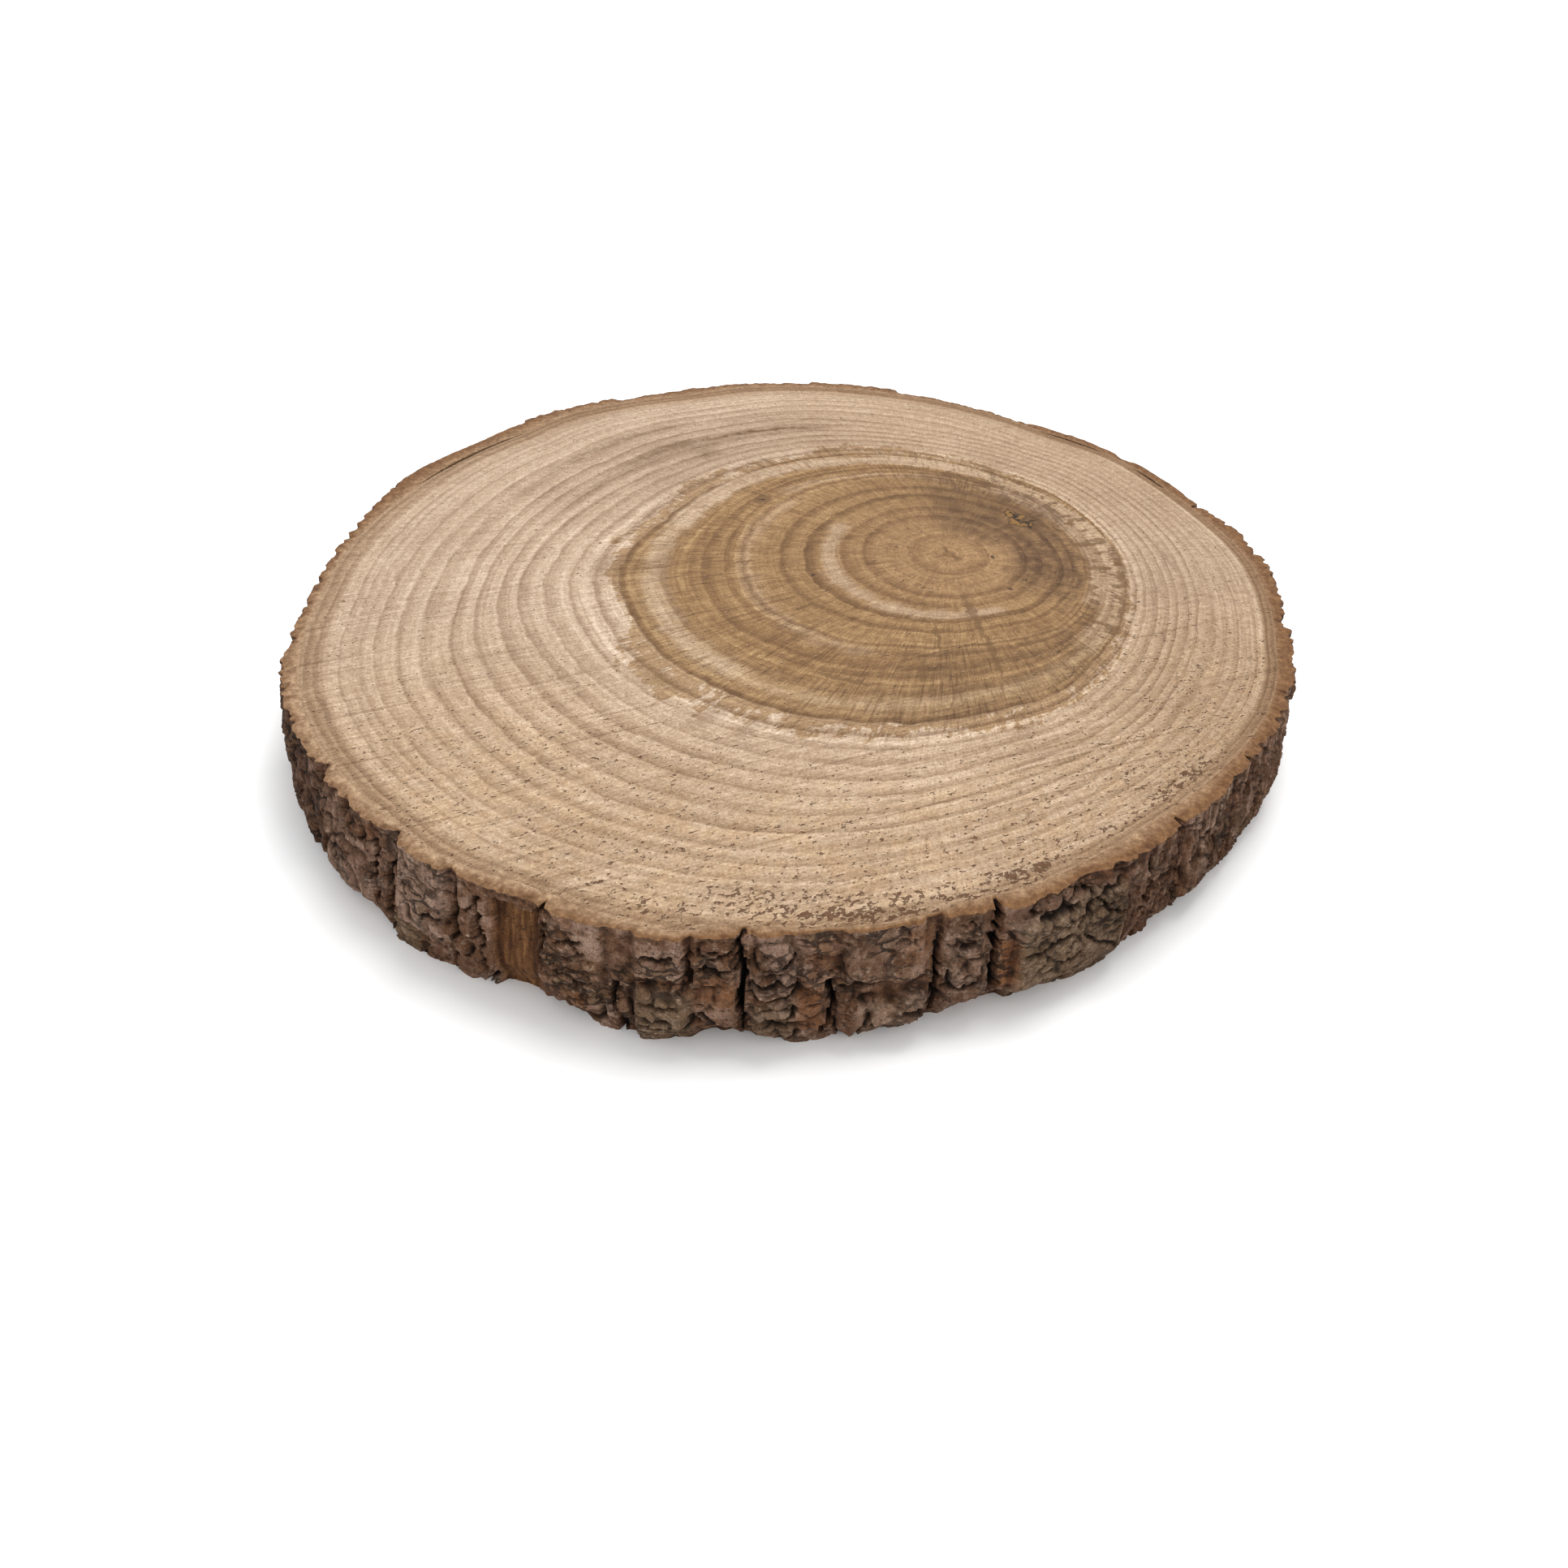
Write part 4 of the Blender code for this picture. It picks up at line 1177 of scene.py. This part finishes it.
def makeBark():
    section = barkSection()
    rows = len(section) - 1
    shape = bmesh.new()
    bmesh.ops.create_grid(shape, x_segments=columns, y_segments=rows, size=0.5)
    mesh = bpy.data.meshes.new("barkRing")
    shape.verts.ensure_lookup_table()
    place = np.array([corner.co[:2] for corner in shape.verts]) + 0.5
    column = np.rint(place[:, 0] * columns).astype(int)
    row = np.rint(place[:, 1] * rows).astype(int)
    radii, heights, shares = (
        np.stack([np.broadcast_to(part[k], columns) for part in section])[row, column % columns]
        for k in (0, 1, 2)
    )
    angles = np.radians(column * 360 / columns)
    for corner, radius, angle, level in zip(shape.verts, radii, angles, heights):
        x = min(max(radius * math.cos(angle) * mm, lowest[0]), highest[0])
        y = min(max(radius * math.sin(angle) * mm, lowest[1]), highest[1])
        corner.co = (x, y, level * mm)

    layer = shape.loops.layers.uv.new("barkMap")
    firstWall, lastWall = bark["faceRows"], bark["faceRows"] + bark["wallRows"]
    for side in shape.faces:
        numbers = row[[corner.index for corner in side.verts]]
        side.material_index = int(firstWall <= min(numbers) and max(numbers) <= lastWall)
        side.smooth = True
        for loop in side.loops:
            number = loop.vert.index
            loop[layer].uv = (column[number] / columns, row[number] / rows)
    steps = [part[3] for part in section]
    found = {name: values[steps][row, column % columns] for name, values in wallMasks.items()}
    found["acrossFace"] = shares
    found["faceTone"] = closedCurve(bark["faceTones"], column * 360 / columns)
    layers = {name: shape.verts.layers.float.new(name) for name in found}
    for name, held in layers.items():
        for corner, value in zip(shape.verts, found[name].tolist()):
            corner[held] = value
    bmesh.ops.remove_doubles(shape, verts=shape.verts[:], dist=1e-6)
    bmesh.ops.recalc_face_normals(shape, faces=shape.faces[:])
    shape.to_mesh(mesh)
    shape.free()
    mesh.set_sharp_from_angle(angle=math.radians(40))
    mesh.materials.append(barkFaceMaterial())
    mesh.materials.append(barkWallMaterial())
    return newPiece("barkRing", mesh)


barkColours = {
    "sawnPale": (161, 133, 104),
    "sawnDark": (114, 80, 50),
    "flake": (92, 60, 35),
    "grey": (132, 104, 87),
    "brown": (94, 64, 44),
    "moss": (102, 83, 60),
    "pale": (163, 140, 119),
    # near black for painted shade in the fissures, cracks and low spots
    "recessShade": (18, 12, 8),
    "bare": (110, 70, 41),
    "fibre": (104, 68, 38),
}
barkPaint = linear(barkColours)


def barkFaceMaterial():
    # the bark where it is sawn through
    material, shader = newMaterial("sawnBark")
    here = addNode("TexCoord").outputs["Object"]
    wave = cloud(here, 160, 4, 0.6)
    grainy = cloud(here, 1500, 3, 0.65)
    share = plus(attribute("acrossFace"), scaled(wave, 0.8, -0.4))
    pale = scaled(spread(share, 0.0, 1.0), -0.65, attribute("faceTone"))
    pale = scaled(wave, 0.9, minus(pale, 0.3), clamp=True)
    colour = mixed(pale, barkPaint["sawnDark"], barkPaint["sawnPale"])
    flakes = cloud(here, 420, 4, 0.65)
    flake = times(spread(flakes, 0.5, 0.64), spread(share, 0.0, 0.9, 0.25, 0.8))
    colour = mixed(flake, colour, barkPaint["flake"])
    tone = swing(cloud(here, 650, 3, 0.6), 2.4, scaled(grainy, 2.0, -1.0))
    colour = shaded(colour, tone)
    height = plus(times(grainy, 0.15), times(flakes, 0.25))
    finished(shader, colour, spread(grainy, 0.3, 0.7, 0.75, 0.9, "LINEAR"), 0.25, height)
    return material


def scaleTexture(here):
    # flakes lie over each other like scales, with a groove and a dark line of painted shade at the edge below
    # each
    bent = mapped(here, (220, 220, 430))
    warp = addNode("TexNoise", {"Vector": bent, "Scale": 1.6, "Detail": 2.0}).outputs["Color"]
    bent = vectors("ADD", {0: bent, 1: warp})[0]
    cell = addNode("TexVoronoi", {"Vector": bent, "Scale": 1.0}).outputs
    edge = addNode("TexVoronoi", {"Vector": bent, "Scale": 1.0}, feature="DISTANCE_TO_EDGE")
    offset = vectors("SUBTRACT", {0: bent, 1: cell["Position"]})[0]
    rise = addNode("SeparateXYZ", {0: offset}).outputs[2]
    own = addNode("SeparateColor", {0: cell["Color"]}).outputs[0]
    return spread(edge.outputs["Distance"], 0.11, 0.03), rise, own


def barkWallMaterial():
    # the weathered outside of the bark
    material, shader = newMaterial("weatheredBark")
    here = addNode("TexCoord").outputs["Object"]
    sunk, strand, smoothPart = attribute("sunk"), attribute("strand"), attribute("smoothPart")
    broad = cloud(here, 95, 3, 0.6)
    patch = cloud(here, 260, 4, 0.62)
    fleck = cloud(here, (900, 900, 1100), 4, 0.68)
    uprights = cloud(here, (1100, 1100, 110), 3, 0.6)
    grit = cloud(here, 2600, 3, 0.7)
    rim, rise, own = scaleTexture(here)
    scaly = times(spread(broad, 0.43, 0.62, 0.08, 0.95), scaled(strand, -0.8, 1))
    rim = times(rim, scaly)

    # grey and brown plates, moss, pale weathered spots where the bark stands out with a painted highlight on
    # the fine relief's high spots, bare flanks and patches, and stringy bark
    level = scaled(attribute("tone"), 0.3, patch)
    level = scaled(attribute("greyPart"), 0.22, level)
    level = scaled(own, 0.12, minus(level, 0.06))
    colour = mixed(spread(level, 0.38, 0.72), barkPaint["brown"], barkPaint["grey"])
    moss = larger(spread(broad, 0.55, 0.7, 0, 0.6), attribute("mossPart"))
    # pale where the bark stands out, weathered, and a painted highlight on the high spots of the fine relief
    weatherAndHighlight = times(spread(fleck, 0.54, 0.68), spread(sunk, 2.6, 1.2, 0, 0.6))
    flank = times(spread(sunk, 2.2, 3.4), spread(patch, 0.45, 0.65, 0.05, 0.5))
    bare = times(attribute("bare"), spread(fleck, 0.36, 0.56, 0.25, 1))

    # painted shade: near black deep in the fissures, in the cracks and round the scales, and in specks at the
    # low spots of the fine relief
    plain = scaled(smoothPart, -0.9, 1)
    recessShade = times(spread(scaled(uprights, 0.8, sunk), 3.6, 5.2, 0, 0.95), plain)
    # painted shade in the cracks and round the scales
    lineShade = times(larger(attribute("small"), times(rim, 0.9)), scaled(smoothPart, -0.9, 0.9))
    # painted shade at the low spots of the fine relief
    spots = times(spread(fleck, 0.43, 0.35), 0.7)
    for share, name in (
        (times(moss, 0.8), "moss"),
        (weatherAndHighlight, "pale"),
        (larger(flank, bare), "bare"),
        (smoothPart, "fibre"),
        (recessShade, "recessShade"),
        (larger(lineShade, spots), "recessShade"),
    ):
        colour = mixed(share, colour, barkPaint[name])

    tint = times(minus(uprights, 0.5), scaled(larger(strand, smoothPart), 2.8, 1.6))
    tint = swing(own, 0.5, swing(grit, 2.2, tint))
    tint = plus(attribute("shade"), tint)
    # painted shade where the wall lies behind what is round it, and a painted highlight where it stands out
    tint = plus(spread(attribute("hollowShading"), -0.12, 0.7, 0.2, -1.4, "LINEAR"), tint)
    colour = shaded(colour, tint)
    height = times(fleck, 0.5)
    for value, amount in ((uprights, 0.3), (grit, 0.25), (times(rise, scaly), -0.5), (rim, -0.5)):
        height = scaled(value, amount, height)
    finished(shader, colour, spread(grit, 0.3, 0.7, 0.8, 0.95, "LINEAR"), 0.2, height, 1.0)
    return material


# the set; a plain pale floor, soft light and the camera
studio = {
    "floorSize": 4.0,
    "floorColour": (0.96, 0.96, 0.96, 1),
    "floorRoughness": 0.7,
    "worldStrength": 1.04,
    "keyPower": 10,
    "keySize": 0.6,
    "keyPlace": (0.25, 0.3, 1.35),
    "cameraPlace": (-0.04990, -0.27741, 0.19720),
    "azimuth": 8.579,
    "elevation": 30.49,
    "roll": 1.821,
    "focal": 1658.7,  # in pixels of the 1932 pixel frame
    "centre": (948.53, 680.0),
    "frame": 1932,
    "sensor": 36,  # width in mm
}


def makeFloor():
    shape = bmesh.new()
    bmesh.ops.create_grid(shape, x_segments=1, y_segments=1, size=studio["floorSize"] / 2)
    mesh = bpy.data.meshes.new("floor")
    shape.to_mesh(mesh)
    shape.free()
    material, shader = newMaterial("paleFloor")
    shader.inputs["Base Color"].default_value = studio["floorColour"]
    shader.inputs["Roughness"].default_value = studio["floorRoughness"]
    mesh.materials.append(material)
    keep("floor", mesh)


def makeLight():
    world = bpy.data.worlds.new("studio")
    world.use_nodes = True
    back = world.node_tree.nodes["Background"]
    back.inputs["Color"].default_value = (1.0, 1.0, 1.0, 1)
    back.inputs["Strength"].default_value = studio["worldStrength"]
    bpy.context.scene.world = world
    light = bpy.data.lights.new("softKey", "AREA")
    light.energy = studio["keyPower"]
    light.size = studio["keySize"]
    key = keep("softKey", light)
    key.location = studio["keyPlace"]
    key.rotation_euler = Vector(studio["keyPlace"]).to_track_quat("Z", "Y").to_euler()


def makeCamera():
    azimuth, elevation, roll = (math.radians(studio[k]) for k in ("azimuth", "elevation", "roll"))
    level = math.cos(elevation)
    ahead = Vector((math.sin(azimuth) * level, math.cos(azimuth) * level, -math.sin(elevation)))
    right = ahead.cross(Vector((0, 0, 1))).normalized()
    up = right.cross(ahead)
    turned = math.cos(roll) * right + math.sin(roll) * up
    raised = math.cos(roll) * up - math.sin(roll) * right
    lens = bpy.data.cameras.new("camera")
    lens.sensor_width = studio["sensor"]
    lens.lens = studio["focal"] / studio["frame"] * studio["sensor"]
    lens.shift_x = 0.5 - studio["centre"][0] / studio["frame"]
    lens.shift_y = studio["centre"][1] / studio["frame"] - 0.5
    lens.clip_start, lens.clip_end = 0.01, 20
    camera = keep("camera", lens)
    place = Matrix((turned, raised, -ahead)).transposed().to_4x4()
    place.translation = studio["cameraPlace"]
    camera.matrix_world = place
    bpy.context.scene.camera = camera
    bpy.context.scene.view_settings.view_transform = "Standard"
    bpy.context.scene.view_settings.look = "None"


makeFloor()
makeLight()
makeCamera()
print("studio, light and camera set")
line = np.arange(columns) * 360.0 / columns
wide, tall = np.meshgrid(line, np.linspace(thickness, 0, bark["wallRows"] + 1))
wall, wallMasks = wallShape(wide, tall)
innermost = sum(np.roll(wall.min(0), k) for k in range(-12, 13)) / 25
meeting = np.minimum(cambiumRadius(line), innermost - 0.5)
wall = np.maximum(wall, meeting + 0.4)
print("bark's face worked out")
makeWood()
print("wood with its growth rings made")
makeBark()
print("bark with its plates and fissures made")
